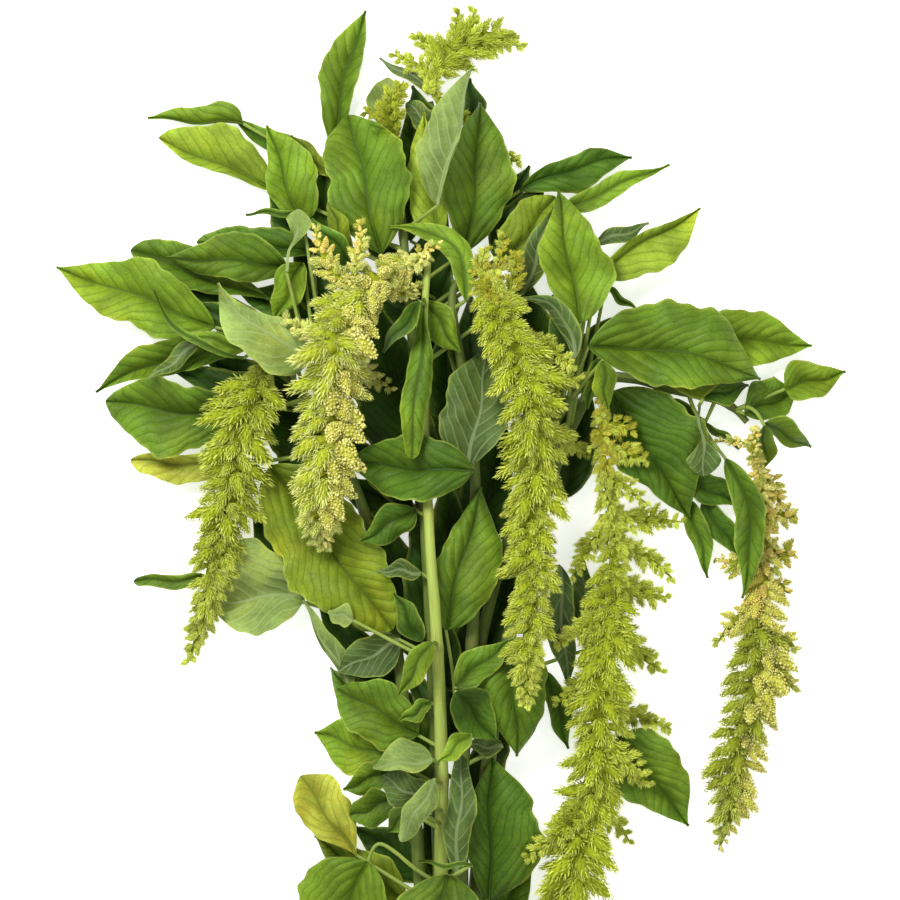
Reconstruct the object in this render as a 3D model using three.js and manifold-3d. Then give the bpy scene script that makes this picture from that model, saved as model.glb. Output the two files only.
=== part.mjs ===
// A florist's bunch of green hanging amaranth, lying on a table.
// Seven leafy stems end in drooping flower tassels. A rubber band holds them near the cut ends.
// Millimetres. +Y runs from the cut ends to the tips, +Z is up and the table is the plane Z = 0.
// The origin is the middle of the band's flat underside.

import * as THREE from 'three';
import Module from 'manifold-3d';

const wasm = await Module();
wasm.setup();

// Where the photographed outline lies: its pixels are read as columns and rows
const MM_PER_PIXEL = 0.55;
const MIDDLE_COLUMN = 450;
const LOWEST_ROW = 900;
const LOWEST_ROW_Y = 90;

// Stems
const STEM_CUT_RADIUS = 5.0;
const STEM_TOP_RADIUS = 1.8;
const STEM_CUT_Y = -70;
const STEM_SIDES = 6;
const STEM_STATIONS = 16;
const CURVE_TENSION = 0.5;
const BUNDLE_TOP_Y = 45;
const STALK_RADIUS = 1.2;
const STALK_ROWS = 2;
const STALK_LEAN = 0.6;
const STALKLESS_STATIONS = 1;

// Rubber band
const BAND_THICKNESS = 1.2;
const BAND_WIDTH = 7;
const BAND_CLEARANCE = 0.4;
const BAND_ARC_STEPS = 2;
const BAND_SLOTS = [[0.5, 0], [1, 1], [0.5, 2], [-0.5, 2], [-1, 1], [-0.5, 0]];

// Leaf blades
const BLADE_THICKNESS = 0.9;
const BLADE_END_HALF_WIDTH = 0.8;
const BLADE_ROW_SPACING = 28;
const FEWEST_BLADE_ROWS = 2;
const SLOPE_STEP = 0.01;
const BLADE_CUP = 0.14;
const BLADE_ARCH = 0.05;
const BLADE_RIPPLE = 1;
const FOLD_SHARE = 0.5;
const HIGHEST_FOLD = 5;
const USUAL_PEAK = 0.42;
const BLADE_ROUNDNESS = 0.75;
const TIP_SHARPNESS = 0.35;

// Tassels
const CORE_SIDES = 5;
const CORE_SHARE = 0.7;
const CORE_STATION_SPACING = 24;
const FEWEST_CORE_STATIONS = 2;
const THINNEST_CORE = 1;
const CLUSTER_SIDES = 3;
const CLUSTER_SPACING = 24;
const CLUSTER_START = 5;
const CLUSTER_SHARE = 0.26;
const SMALLEST_CLUSTER = 2.5;
const CLUSTER_TURN = { spread: 1.2, start: -0.1, scatter: 0.15 };
const CLUSTER_REACH = { least: 0.85, scatter: 0.3 };
const CLUSTER_SLANT = { least: 0.45, scatter: 0.4 };
const GOLDEN_SHARE = 0.618;
const TASSEL_FLATNESS = 0.6;
const TASSEL_GAP = 0.4;
const TASSEL_NECK = 4;

// How the pieces lie on each other
const PILE_HEIGHT = 40;
const PILE_MIDDLE_Y = 345;
const PILE_HALF_WIDTH = 225;
const PILE_HALF_LENGTH = 330;
const TIP_SHARE = 0.75;
const LAYER_GAP = 1.3;
const CELL = 2;
const PILE_MIN = new THREE.Vector2(-270, -100);
const PILE_CELLS = { across: 270, along: 370 };
const STIFFENING_PASSES = 3;
const STIFFNESS = 0.7;

const COLOURS = {
  leaf: 0x5f8f2a,
  tassel: 0xb4bf45,
  band: 0xc9b37a,
};
const PLANT_ROUGHNESS = 0.6;
const BAND_ROUGHNESS = 0.7;

// Stems by number: place in the bundle (across, row) and path above it, as [column, row]
const STEMS = {
  1: { slot: [-1, 1], path: [[422, 900], [406, 720], [382, 570], [342, 455], [300, 390], [272, 370]] },
  2: {
    slot: [-0.5, 2],
    path: [[441, 900], [442, 790], [440, 700], [436, 620], [430, 540], [425, 420], [424, 330], [428, 264]],
  },
  3: {
    slot: [0.5, 2],
    path: [[460, 900], [461, 800], [468, 700], [476, 560], [472, 430], [455, 330], [456, 283], [486, 273]],
  },
  4: { slot: [0, 1], path: [[452, 900], [466, 720], [502, 560], [545, 445], [575, 392], [596, 394]] },
  5: {
    slot: [1, 1],
    path: [[476, 900], [494, 720], [528, 560], [566, 440], [606, 378], [656, 386], [702, 396], [730, 405],
      [748, 422]],
  },
  6: { slot: [0.5, 0], path: [[462, 900], [460, 700], [456, 500], [448, 300], [440, 160], [430, 100]] },
  7: { slot: [-0.5, 0], path: [[440, 900], [434, 700], [424, 500], [410, 310], [400, 200], [395, 144]] },
};

// Tassels by stem: branches of [column, row, half-width in pixels], the first one from the stem's end
const TASSELS = {
  1: [
    [[272, 370, 4], [256, 388, 34], [245, 412, 40], [237, 445, 41], [230, 485, 38], [223, 520, 34],
      [214, 560, 30], [208, 598, 21], [199, 628, 14], [187, 664, 2]],
  ],
  2: [
    [[428, 263, 4], [404, 268, 22], [376, 283, 28], [350, 310, 37], [338, 345, 43], [333, 395, 38],
      [331, 440, 39], [324, 490, 33], [322, 525, 25], [325, 549, 3]],
    [[408, 264, 8], [424, 254, 11], [440, 243, 2]],
    [[350, 300, 12], [328, 262, 18], [315, 228, 2]],
    [[356, 290, 10], [360, 254, 11], [360, 221, 2]],
    [[334, 348, 8], [307, 334, 11], [285, 318, 2]],
    [[345, 352, 14], [366, 372, 14], [393, 390, 2]],
    [[380, 284, 10], [405, 294, 11], [420, 283, 2]],
  ],
  3: [
    [[487, 273, 4], [494, 300, 28], [509, 340, 35], [526, 380, 37], [534, 425, 38], [536, 465, 38],
      [532, 510, 35], [532, 560, 29], [531, 610, 26], [526, 655, 23], [525, 705, 5]],
    [[490, 300, 14], [481, 272, 12], [486, 248, 2]],
    [[497, 298, 8], [501, 262, 7], [503, 233, 2]],
    [[505, 315, 12], [513, 280, 13], [517, 251, 2]],
    [[515, 335, 14], [545, 348, 14], [575, 369, 2]],
    [[532, 375, 14], [558, 381, 15], [582, 380, 2]],
    [[543, 425, 14], [566, 441, 13], [588, 453, 2]],
  ],
  4: [
    [[597, 395, 4], [600, 430, 9], [605, 470, 13], [612, 515, 15], [615, 555, 18], [611, 605, 30],
      [605, 650, 38], [601, 700, 34], [598, 745, 34], [590, 795, 36], [577, 845, 41], [567, 890, 40],
      [562, 940, 32], [550, 990, 20], [541, 1030, 2]],
    [[601, 428, 7], [617, 424, 15], [634, 431, 3]],
    [[605, 448, 7], [626, 452, 13], [648, 461, 3]],
    [[606, 472, 8], [624, 486, 13], [647, 504, 2]],
    [[612, 515, 9], [646, 520, 20], [683, 522, 2]],
    [[615, 542, 9], [646, 556, 17], [675, 580, 2]],
    [[614, 580, 9], [641, 594, 21], [669, 598, 2]],
    [[611, 610, 12], [637, 650, 18], [664, 674, 2]],
    [[609, 520, 5], [591, 546, 15], [571, 578, 2]],
    [[606, 612, 13], [581, 630, 14], [555, 646, 2]],
    [[601, 665, 12], [580, 686, 16], [555, 704, 2]],
    [[603, 700, 13], [640, 716, 14], [673, 731, 2]],
    [[600, 745, 13], [626, 762, 18], [649, 786, 3]],
    [[589, 800, 13], [560, 830, 17], [524, 859, 2]],
    [[596, 810, 12], [617, 826, 11], [631, 844, 2]],
  ],
  5: [
    [[749, 423, 4], [757, 465, 11], [766, 510, 13], [767, 552, 19], [761, 595, 25], [761, 640, 34],
      [760, 680, 36], [748, 725, 35], [738, 760, 36], [734, 795, 28], [729, 825, 16], [720, 853, 2]],
    [[757, 465, 6], [752, 448, 8], [756, 429, 2]],
    [[756, 447, 5], [735, 441, 7], [713, 442, 2]],
    [[760, 472, 9], [773, 486, 19], [783, 506, 5]],
    [[767, 515, 10], [785, 516, 18], [798, 515, 5]],
    [[767, 550, 11], [784, 555, 18], [797, 555, 5]],
    [[765, 588, 10], [780, 586, 16], [791, 594, 4]],
    [[768, 630, 12], [786, 640, 17], [798, 651, 4]],
    [[768, 660, 12], [784, 676, 16], [798, 693, 4]],
    [[757, 560, 10], [738, 563, 16], [716, 559, 3]],
    [[752, 600, 10], [736, 622, 15], [718, 645, 3]],
  ],
  6: [
    [[430, 99, 4], [434, 77, 23], [446, 56, 28], [464, 40, 28], [486, 35, 23], [506, 37, 13], [523, 45, 2]],
    [[450, 48, 9], [456, 26, 10], [459, 6, 2]],
    [[465, 44, 9], [472, 26, 10], [474, 6, 2]],
    [[444, 58, 9], [427, 42, 10], [411, 30, 2]],
    [[436, 74, 9], [413, 62, 10], [391, 53, 2]],
    [[434, 90, 4], [478, 128, 6], [506, 156, 9], [522, 160, 2]],
  ],
  7: [
    [[395, 143, 4], [391, 127, 16], [389, 110, 18], [396, 96, 12], [404, 80, 2]],
    [[391, 120, 8], [378, 112, 8], [363, 112, 2]],
  ],
};

// The bunch in the order in which it piles up, lowest first.
// Each layer names its stem, how high in the pile it lies, its leaves and the tassel laid on it.
// A leaf is [name, base, tip, half-width on its left, half-width on its right, options], in pixels.
// Options: bow of the midrib to its left, place of the greatest width, bluntness of the tip, and
// points that the leaf's stalk passes.
const LAYERS = [
  {
    stem: 6,
    level: 0.1,
    leaves: [
      ['under tassel 1', [345, 480], [262, 382], 46, 30],
      ['under left fan', [312, 408], [196, 352], 20, 22],
      ['under heart right', [472, 565], [507, 422], 30, 26],
      ['under middle left', [430, 665], [370, 502], 32, 26],
      ['under middle right', [450, 748], [490, 588], 26, 26],
      ['under low left', [432, 805], [366, 655], 30, 30],
      ['under tassel 3', [548, 432], [520, 262], 32, 28],
      ['under upper left', [340, 335], [234, 288], 18, 24],
      ['under crown', [430, 350], [430, 222], 36, 30],
      ['under crown left', [410, 240], [410, 98], 18, 18],
      ['under left tassel top', [280, 398], [168, 370], 14, 18],
      ['under twisted', [335, 330], [292, 222], 20, 20],
      ['under tassel 2', [425, 470], [376, 298], 56, 30],
      ['under fold', [452, 480], [447, 316], 26, 24],
      ['under tassel 3 top', [478, 430], [470, 290], 22, 26],
      ['under window', [562, 500], [590, 384], 24, 24],
      ['under stem left', [436, 642], [416, 498], 24, 22],
      ['under stem right', [452, 610], [445, 468], 20, 20],
      ['under tassel 3 end', [486, 668], [514, 540], 26, 20],
      ['under left edge', [398, 698], [316, 602], 24, 22],
      ['under low edge', [385, 740], [330, 668], 22, 20],
      ['under low middle', [478, 802], [500, 722], 20, 22],
      ['under foot', [432, 880], [352, 828], 22, 22],
      ['under foot far left', [405, 905], [314, 838], 26, 24],
      ['under foot right', [470, 960], [534, 862], 28, 26],
      ['under left pair', [262, 320], [180, 286], 12, 12],
      ['under upright left', [302, 244], [268, 188], 16, 16],
      ['under crown top', [436, 142], [412, 84], 13, 14],
      ['under crown tip', [474, 132], [470, 76], 12, 12],
      ['under top right base', [498, 214], [530, 164], 12, 12],
      ['under stem gap', [438, 712], [402, 672], 11, 12],
      ['under dark heart', [422, 522], [338, 476], 26, 18],
      ['under stem upper', [450, 690], [446, 606], 10, 10],
      ['under stem low', [444, 890], [424, 806], 13, 10],
      ['under big right base', [560, 372], [632, 312], 15, 18],
      ['under tassel 2 arm', [424, 334], [378, 292], 15, 15],
      ['under crown far left', [330, 250], [320, 160], 16, 14],
      ['under left leaves', [300, 350], [188, 302], 20, 20],
      ['under top right', [498, 262], [545, 182], 26, 22],
      ['under heart', [574, 376], [553, 294], 14, 14],
      ['under crown low', [424, 292], [362, 236], 17, 19],
      ['by tassel 2', [412, 508], [332, 424], 15, 17],
      ['under arc', [640, 402], [706, 420], 15, 14],
      ['rounded back', [388, 132], [388, 75], 22, 14, { peak: 0.55, blunt: 0.3 }],
      ['square back', [442, 130], [406, 102], 12, 12, { blunt: 0.5 }],
      ['narrow blue', [438, 93], [379, 56], 7, 6],
      ['tall back', [332, 150], [365, 8], 26, 13, { bow: 3, peak: 0.54 }],
      ['bent leaf inner', [314, 168], [230, 116], 9, 14],
      ['bent leaf outer', [242, 122], [146, 116], 2, 21, { peak: 0.28 }],
      ['top right dark', [520, 190], [633, 156], 15, 22, { bow: 7, peak: 0.5 }],
    ],
    tassel: 6,
  },
  {
    stem: 7,
    level: 0.2,
    leaves: [],
    tassel: 7,
  },
  {
    stem: 7,
    level: 0.3,
    leaves: [
      ['strip behind', [330, 175], [290, 134], 9, 9],
      ['bright upper left', [282, 192], [157, 136], 10, 36, { peak: 0.55, blunt: 0.2 }],
      ['upright left', [302, 224], [266, 124], 18, 34],
      ['yellow strip', [440, 242], [424, 112], 28, 14],
      ['tall middle', [464, 252], [480, 101], 34, 37, { bow: -4, peak: 0.5 }],
      ['folded heart', [381, 254], [348, 114], 41, 48, { peak: 0.52, blunt: 0.4 }],
      ['pale half', [438, 206], [471, 67], 33, 3, { peak: 0.45 }],
      ['light narrow right', [566, 208], [671, 163], 12, 11, { peak: 0.3 }],
      ['yellow behind right', [505, 262], [556, 196], 26, 22, { blunt: 0.5 }],
      ['dark behind right', [524, 292], [554, 207], 14, 12],
    ],
  },
  {
    stem: 5,
    level: 0.35,
    leaves: [
      ['between tassels upper', [588, 650], [582, 548], 14, 12],
      ['pale narrow right', [596, 243], [650, 222], 8, 8],
      ['lime right', [598, 272], [702, 207], 9, 33, { peak: 0.44 }],
      ['far right', [690, 338], [814, 345], 33, 25],
      ['short strip right', [606, 286], [638, 310], 5, 4],
      ['strip by arc', [706, 423], [741, 449], 5, 4],
      ['dark by arc', [704, 396], [750, 385], 13, 12],
      ['torn leaf body', [745, 414], [796, 392], 26, 19, { peak: 0.5, blunt: 0.6 }],
      ['torn leaf end', [786, 389], [848, 371], 25, 18, { peak: 0.3 }],
      ['small tail right', [764, 424], [813, 447], 15, 9, { via: [[752, 408]] }],
      ['small hanging right', [764, 426], [763, 473], 13, 7, { via: [[752, 408]] }],
      ['dark low right', [704, 500], [742, 560], 13, 14, { via: [[668, 392], [690, 446]] }],
      ['dark under twist', [686, 476], [740, 506], 17, 15, { via: [[662, 392], [676, 440]] }],
      ['hanging middle right', [690, 500], [709, 579], 13, 10, { via: [[656, 392], [670, 446]] }],
    ],
    tassel: 5,
  },
  {
    stem: 5,
    level: 0.6,
    leaves: [
      ['front right', [726, 459], [743, 599], 17, 16, { bow: 16, via: [[690, 398], [704, 428]] }],
      ['low right', [618, 738], [690, 828], 41, 32, { peak: 0.34, via: [[555, 600], [600, 660]] }],
    ],
  },
  {
    stem: 4,
    level: 0.5,
    leaves: [
      ['between tassels', [560, 566], [568, 690], 14, 16],
      ['between tassels dark', [546, 672], [569, 750], 14, 12],
      ['bright right', [580, 324], [558, 189], 27, 40, { peak: 0.42 }],
      ['big dark right', [610, 392], [690, 518], 59, 32, { via: [[584, 372]] }],
      ['under big right', [672, 384], [728, 379], 6, 14, { via: [[600, 374]] }],
      ['big right', [588, 347], [761, 379], 53, 35, { bow: 10, peak: 0.48 }],
      ['curled olive', [574, 358], [519, 298], 10, 11, { bow: -20 }],
    ],
  },
  {
    stem: 5,
    level: 0.65,
    leaves: [
      ['twisted grey', [699, 406], [704, 476], 22, 19, { peak: 0.85, blunt: 0.9 }],
    ],
  },
  {
    stem: 1,
    level: 0.45,
    leaves: [
      ['behind left', [270, 299], [129, 249], 16, 25, { peak: 0.6, blunt: 0.4 }],
      ['dark top edge', [312, 252], [196, 242], 10, 23, { blunt: 0.3 }],
      ['big left', [214, 327], [54, 266], 33, 35, { peak: 0.45, via: [[280, 345]] }],
      ['long tail left', [245, 349], [94, 392], 14, 25, { bow: -11, via: [[280, 345]] }],
      ['yellow low left', [234, 466], [129, 460], 20, 10, { blunt: 0.5 }],
      ['lobed left', [240, 419], [104, 401], 44, 32, { peak: 0.5, blunt: 0.2 }],
      ['folded small left', [201, 341], [149, 378], 8, 9, { via: [[280, 345]] }],
      ['bright small left', [246, 349], [177, 333], 10, 7, { via: [[280, 345]] }],
      ['edge on left', [245, 358], [154, 290], 4, 4, { bow: 17, via: [[280, 345]] }],
      ['veined upper left', [287, 267], [166, 257], 19, 29],
      ['spike upper left', [302, 212], [245, 214], 3, 5],
      ['under olive left', [288, 572], [250, 510], 14, 16],
      ['pale low left', [306, 594], [205, 604], 38, 56, { peak: 0.5 }],
      ['spike low left', [209, 578], [132, 582], 9, 7, { blunt: 0.5 }],
      ['left edge strip', [352, 694], [303, 600], 4, 13],
      ['olive under tassel 2', [270, 466], [392, 630], 45, 52, { blunt: 0.35 }],
      ['twisted lower', [303, 263], [274, 320], 14, 21],
      ['twisted upper', [287, 272], [299, 209], 11, 16, { peak: 0.85, blunt: 0.8 }],
      ['olive top', [349, 260], [328, 203], 13, 12],
      ['dark by tassel 2', [354, 266], [312, 219], 12, 11],
    ],
    tassel: 1,
  },
  {
    stem: 1,
    level: 0.65,
    leaves: [
      ['pale underside left', [313, 354], [218, 283], 34, 19, { bow: 13, peak: 0.32 }],
    ],
  },
  {
    stem: 3,
    level: 0.7,
    leaves: [
      ['heart right', [446, 629], [481, 487], 26, 38, { via: [[457, 712], [454, 680]] }],
      ['dark by underside', [472, 463], [429, 413], 13, 14],
      ['grey underside', [468, 464], [489, 345], 40, 28],
      ['right lobe', [424, 301], [460, 353], 15, 17],
      ['arching', [466, 301], [390, 227], 13, 13, { bow: -29 }],
    ],
  },
  {
    stem: 2,
    level: 0.7,
    leaves: [],
  },
  {
    stem: 3,
    level: 0.7,
    leaves: [
      ['low right dark', [489, 900], [492, 756], 25, 55, { peak: 0.46 }],
      ['pointed down', [514, 638], [517, 757], 34, 34],
      ['grey short', [503, 746], [466, 745], 10, 10],
      ['dull right', [456, 686], [508, 640], 18, 17],
      ['dark right of stem', [456, 690], [496, 740], 23, 22],
      ['along stem', [457, 872], [461, 754], 14, 15, { blunt: 0.4 }],
    ],
    tassel: 4,
  },
  {
    stem: 4,
    level: 0.8,
    leaves: [
      ['small dark right', [598, 359], [587, 409], 9, 9],
      ['small bright right', [602, 361], [607, 410], 11, 12],
    ],
  },
  {
    stem: 2,
    level: 0.9,
    leaves: [
      ['grey low left', [399, 639], [337, 673], 25, 21],
      ['pale by stalk', [353, 620], [328, 611], 12, 12],
      ['grey bar', [421, 573], [378, 570], 9, 10],
      ['dark behind stem', [416, 510], [361, 541], 19, 18],
      ['dark left of stem', [422, 641], [394, 593], 13, 12],
      ['light low left', [385, 755], [314, 733], 27, 26],
      ['round low left', [418, 735], [337, 689], 34, 30, { blunt: 0.3 }],
      ['yellow olive', [356, 856], [300, 777], 25, 30, { peak: 0.6, blunt: 0.5 }],
      ['crumpled left', [390, 771], [343, 790], 16, 16],
      ['crumpled low', [393, 801], [349, 816], 19, 17, { blunt: 0.4 }],
      ['crumpled round', [429, 803], [383, 775], 20, 20, { blunt: 0.4 }],
      ['crumpled end', [413, 807], [387, 832], 13, 13],
      ['crumpled top', [433, 759], [373, 767], 9, 25],
      ['foot left', [368, 862], [312, 968], 45, 54, { via: [[411, 866], [386, 845], [374, 848]] }],
      ['foot middle', [447, 873], [432, 975], 45, 43],
      ['small by stem', [431, 702], [400, 720], 9, 10],
      ['bright by stem', [432, 640], [399, 694], 14, 13],
      ['bright right of stem', [471, 733], [438, 760], 11, 11],
      ['bright underside', [434, 778], [401, 840], 14, 13, { blunt: 0.3 }],
      ['cross strip', [472, 862], [418, 861], 3, 3],
      ['dark heart', [472, 471], [342, 462], 33, 33],
      ['hanging fold', [424, 299], [412, 459], 14, 14, { peak: 0.6, blunt: 0.4 }],
      ['dark left of fold', [420, 303], [383, 353], 9, 10],
    ],
    tassel: 3,
  },
  {
    stem: 2,
    level: 1,
    leaves: [],
    tassel: 2,
  },
];

// Seeded draws in 0 to 1
function seededDraw(seed) {
  let state = seed;
  return () => {
    state = (Math.imul(1664525, state) + 1013904223) >>> 0;
    return state / 2 ** 32;
  };
}

// Place of a pixel on the table
function place([column, row]) {
  return new THREE.Vector2(
    (column - MIDDLE_COLUMN) * MM_PER_PIXEL,
    LOWEST_ROW_Y + (LOWEST_ROW - row) * MM_PER_PIXEL,
  );
}

// Height of the bunch's rounded outline over a point of the table
function pileHeight(x, y) {
  const across = x / PILE_HALF_WIDTH;
  const along = (y - PILE_MIDDLE_Y) / PILE_HALF_LENGTH;
  return PILE_HEIGHT * Math.max(0, 1 - across ** 2 - along ** 2);
}

// Record of how high the pile has grown, one map for each node
class Pile {
  constructor() {
    this.maps = new Map();
  }

  index(x, y, ring = [0, 0]) {
    const across = Math.floor((x - PILE_MIN.x) / CELL) + ring[0];
    const along = Math.floor((y - PILE_MIN.y) / CELL) + ring[1];
    return along * PILE_CELLS.across + across;
  }

  // Lowest height at which something new may lie
  floor(x, y, skip) {
    const cell = this.index(x, y);
    let highest = 0;
    for (const [name, map] of this.maps) {
      if (name !== skip) highest = Math.max(highest, map[cell]);
    }
    return highest;
  }

  // The top of a new piece, spread to the cells round the point
  add(name, x, y, top) {
    if (!this.maps.has(name)) {
      this.maps.set(name, new Float64Array(PILE_CELLS.across * PILE_CELLS.along));
    }
    const map = this.maps.get(name);
    for (const i of [-1, 0, 1]) {
      for (const j of [-1, 0, 1]) {
        const cell = this.index(x, y, [i, j]);
        map[cell] = Math.max(map[cell], top + LAYER_GAP);
      }
    }
  }
}

const pile = new Pile();

// Points of a triangle no further apart than a cell, as corner weights
function* triangleWeights(a, b, c) {
  const longest = Math.max(a.distanceTo(b), b.distanceTo(c), c.distanceTo(a));
  const steps = Math.max(1, Math.ceil(longest / CELL));
  for (let i = 0; i <= steps; i += 1) {
    for (let j = 0; j <= steps - i; j += 1) {
      yield [i / steps, j / steps, (steps - i - j) / steps];
    }
  }
}

// Smooths lifts so that a raised corner carries its neighbours with it
function stiffen(lifts, neighbours) {
  for (let pass = 0; pass < STIFFENING_PASSES; pass += 1) {
    const before = lifts.slice();
    lifts.forEach((lift, corner) => {
      const around = neighbours(corner);
      const mean = around.reduce((sum, other) => sum + before[other], 0) / around.length;
      lifts[corner] = Math.max(lift, STIFFNESS * mean);
    });
  }
}

// A solid from its corners and triangles
function solid(corners, triangles) {
  return new wasm.Manifold(new wasm.Mesh({
    numProp: 3,
    vertProperties: new Float32Array(corners.flatMap((corner) => corner.toArray())),
    triVerts: new Uint32Array(triangles.flat()),
  }));
}

// A closed tube through stations, its rings upright across the path
function tube(stations, sides) {
  const corners = [];
  const triangles = [];
  stations.forEach(({ centre, radius, rise, left }) => {
    for (let side = 0; side < sides; side += 1) {
      const angle = (2 * Math.PI * (side + 0.5)) / sides;
      const across = radius * Math.cos(angle);
      corners.push(new THREE.Vector3(
        centre.x + left.x * across,
        centre.y + left.y * across,
        centre.z + rise * Math.sin(angle),
      ));
    }
  });
  const last = (stations.length - 1) * sides;
  for (let start = 0; start < last; start += sides) {
    for (let side = 0; side < sides; side += 1) {
      const next = (side + 1) % sides;
      triangles.push([start + side, start + next, start + sides + side]);
      triangles.push([start + next, start + sides + next, start + sides + side]);
    }
  }
  for (let side = 1; side < sides - 1; side += 1) {
    triangles.push([0, side + 1, side]);
    triangles.push([last, last + side, last + side + 1]);
  }
  return solid(corners, triangles);
}

// Left-hand directions, level with the table, along a line of points
function leftDirections(points) {
  return points.map((_, index) => {
    const before = points[Math.max(0, index - 1)];
    const after = points[Math.min(points.length - 1, index + 1)];
    return new THREE.Vector2(before.y - after.y, after.x - before.x).normalize();
  });
}

// Lays a tube on the pile: raises its stations clear of what is below, the held ones excepted
function layTube(name, stations, held, skip) {
  const lifts = stations.map(() => 0);
  const along = [];
  for (let index = 0; index < stations.length - 1; index += 1) {
    const from = stations[index];
    const to = stations[index + 1];
    const steps = Math.max(1, Math.ceil(from.centre.distanceTo(to.centre) / CELL));
    for (let step = 0; step <= steps; step += 1) {
      const share = step / steps;
      const radius = THREE.MathUtils.lerp(from.radius, to.radius, share);
      const offsets = Math.max(1, Math.ceil(radius / CELL));
      for (let offset = -offsets; offset <= offsets; offset += 1) {
        const level = offset / offsets;
        const depth = THREE.MathUtils.lerp(from.rise, to.rise, share) * Math.sqrt(1 - level ** 2);
        along.push({ index, share, across: radius * level, depth, inner: radius - CELL });
      }
    }
  }
  const at = ({ index, share, across }) => {
    const from = stations[index];
    const to = stations[index + 1];
    const point = from.centre.clone().lerp(to.centre, share);
    point.x += across * THREE.MathUtils.lerp(from.left.x, to.left.x, share);
    point.y += across * THREE.MathUtils.lerp(from.left.y, to.left.y, share);
    return point;
  };
  along.forEach((sample) => {
    const point = at(sample);
    const need = pile.floor(point.x, point.y, skip) - (point.z - sample.depth);
    const weights = [1 - sample.share, sample.share];
    const square = weights[0] ** 2 + weights[1] ** 2;
    weights.forEach((weight, end) => {
      const station = sample.index + end;
      lifts[station] = Math.max(lifts[station], (need * weight) / square);
    });
  });
  const neighbours = (station) => [Math.max(0, station - 1), Math.min(stations.length - 1, station + 1)];
  stiffen(lifts, neighbours);
  stations.forEach((station, index) => {
    if (!held(index)) station.centre.z += lifts[index];
  });
  along.filter(({ across, inner }) => Math.abs(across) <= Math.max(0, inner)).forEach((sample) => {
    const point = at(sample);
    pile.add(name, point.x, point.y, point.z + sample.depth);
  });
}

// Stations of a tube: middle, half-width, half-height and left-hand direction
function tubeStations(points, radii, flatness = 1) {
  const left = leftDirections(points);
  return points.map((centre, index) => {
    const radius = radii[index];
    return { centre, radius, rise: flatness * radius, left: left[index] };
  });
}

// Place of a stem's middle in the bundle
const slotSpacing = 2 * STEM_CUT_RADIUS + BAND_CLEARANCE;

function slotMiddle([across, row]) {
  const lowest = BAND_THICKNESS + BAND_CLEARANCE + STEM_CUT_RADIUS;
  return { x: across * slotSpacing, z: lowest + row * slotSpacing * Math.sin(Math.PI / 3) };
}

// A stem from its cut end through the band to its tassel
function layStem(number, level) {
  const { slot, path } = STEMS[number];
  const { x, z } = slotMiddle(slot);
  const points = [STEM_CUT_Y, 0, BUNDLE_TOP_Y].map((y) => new THREE.Vector3(x, y, z));
  path.map(place).forEach((point) => {
    const top = Math.max(z, level * pileHeight(point.x, point.y));
    points.push(new THREE.Vector3(point.x, point.y, top));
  });
  const curve = new THREE.CatmullRomCurve3(points, false, 'catmullrom', CURVE_TENSION);
  const centres = curve.getPoints(STEM_STATIONS);
  const radii = centres.map((_, index) => (
    THREE.MathUtils.lerp(STEM_CUT_RADIUS, STEM_TOP_RADIUS, index / STEM_STATIONS)
  ));
  const stations = tubeStations(centres, radii);
  layTube(`leafy_stem_${number}`, stations, (index) => stations[index].centre.y <= BUNDLE_TOP_Y);
  return stations;
}

// Point of a tube's middle line nearest to a place on the table
function nearestPoint(stations, target) {
  let best = null;
  for (let index = 0; index < stations.length - 1; index += 1) {
    const from = stations[index].centre;
    const run = stations[index + 1].centre.clone().sub(from);
    const offset = new THREE.Vector2(target.x - from.x, target.y - from.y);
    const share = (offset.x * run.x + offset.y * run.y) / (run.x ** 2 + run.y ** 2);
    const point = from.clone().addScaledVector(run, THREE.MathUtils.clamp(share, 0, 1));
    const distance = Math.hypot(point.x - target.x, point.y - target.y);
    if (!best || distance < best.distance) best = { point, distance };
  }
  return best;
}

// Share of a blade's full width along its midrib, 0 at the base and 1 at the tip
function bladeProfile(along, peak, blunt) {
  const sine = Math.sin(Math.PI * along ** (Math.log(0.5) / Math.log(peak)));
  const sharpness = (TIP_SHARPNESS * Math.max(0, along - peak)) / (1 - peak);
  const pointed = Math.max(0, sine) ** (BLADE_ROUNDNESS + sharpness);
  const full = along < peak ? pointed : 1;
  return THREE.MathUtils.lerp(pointed, full, blunt);
}

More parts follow.
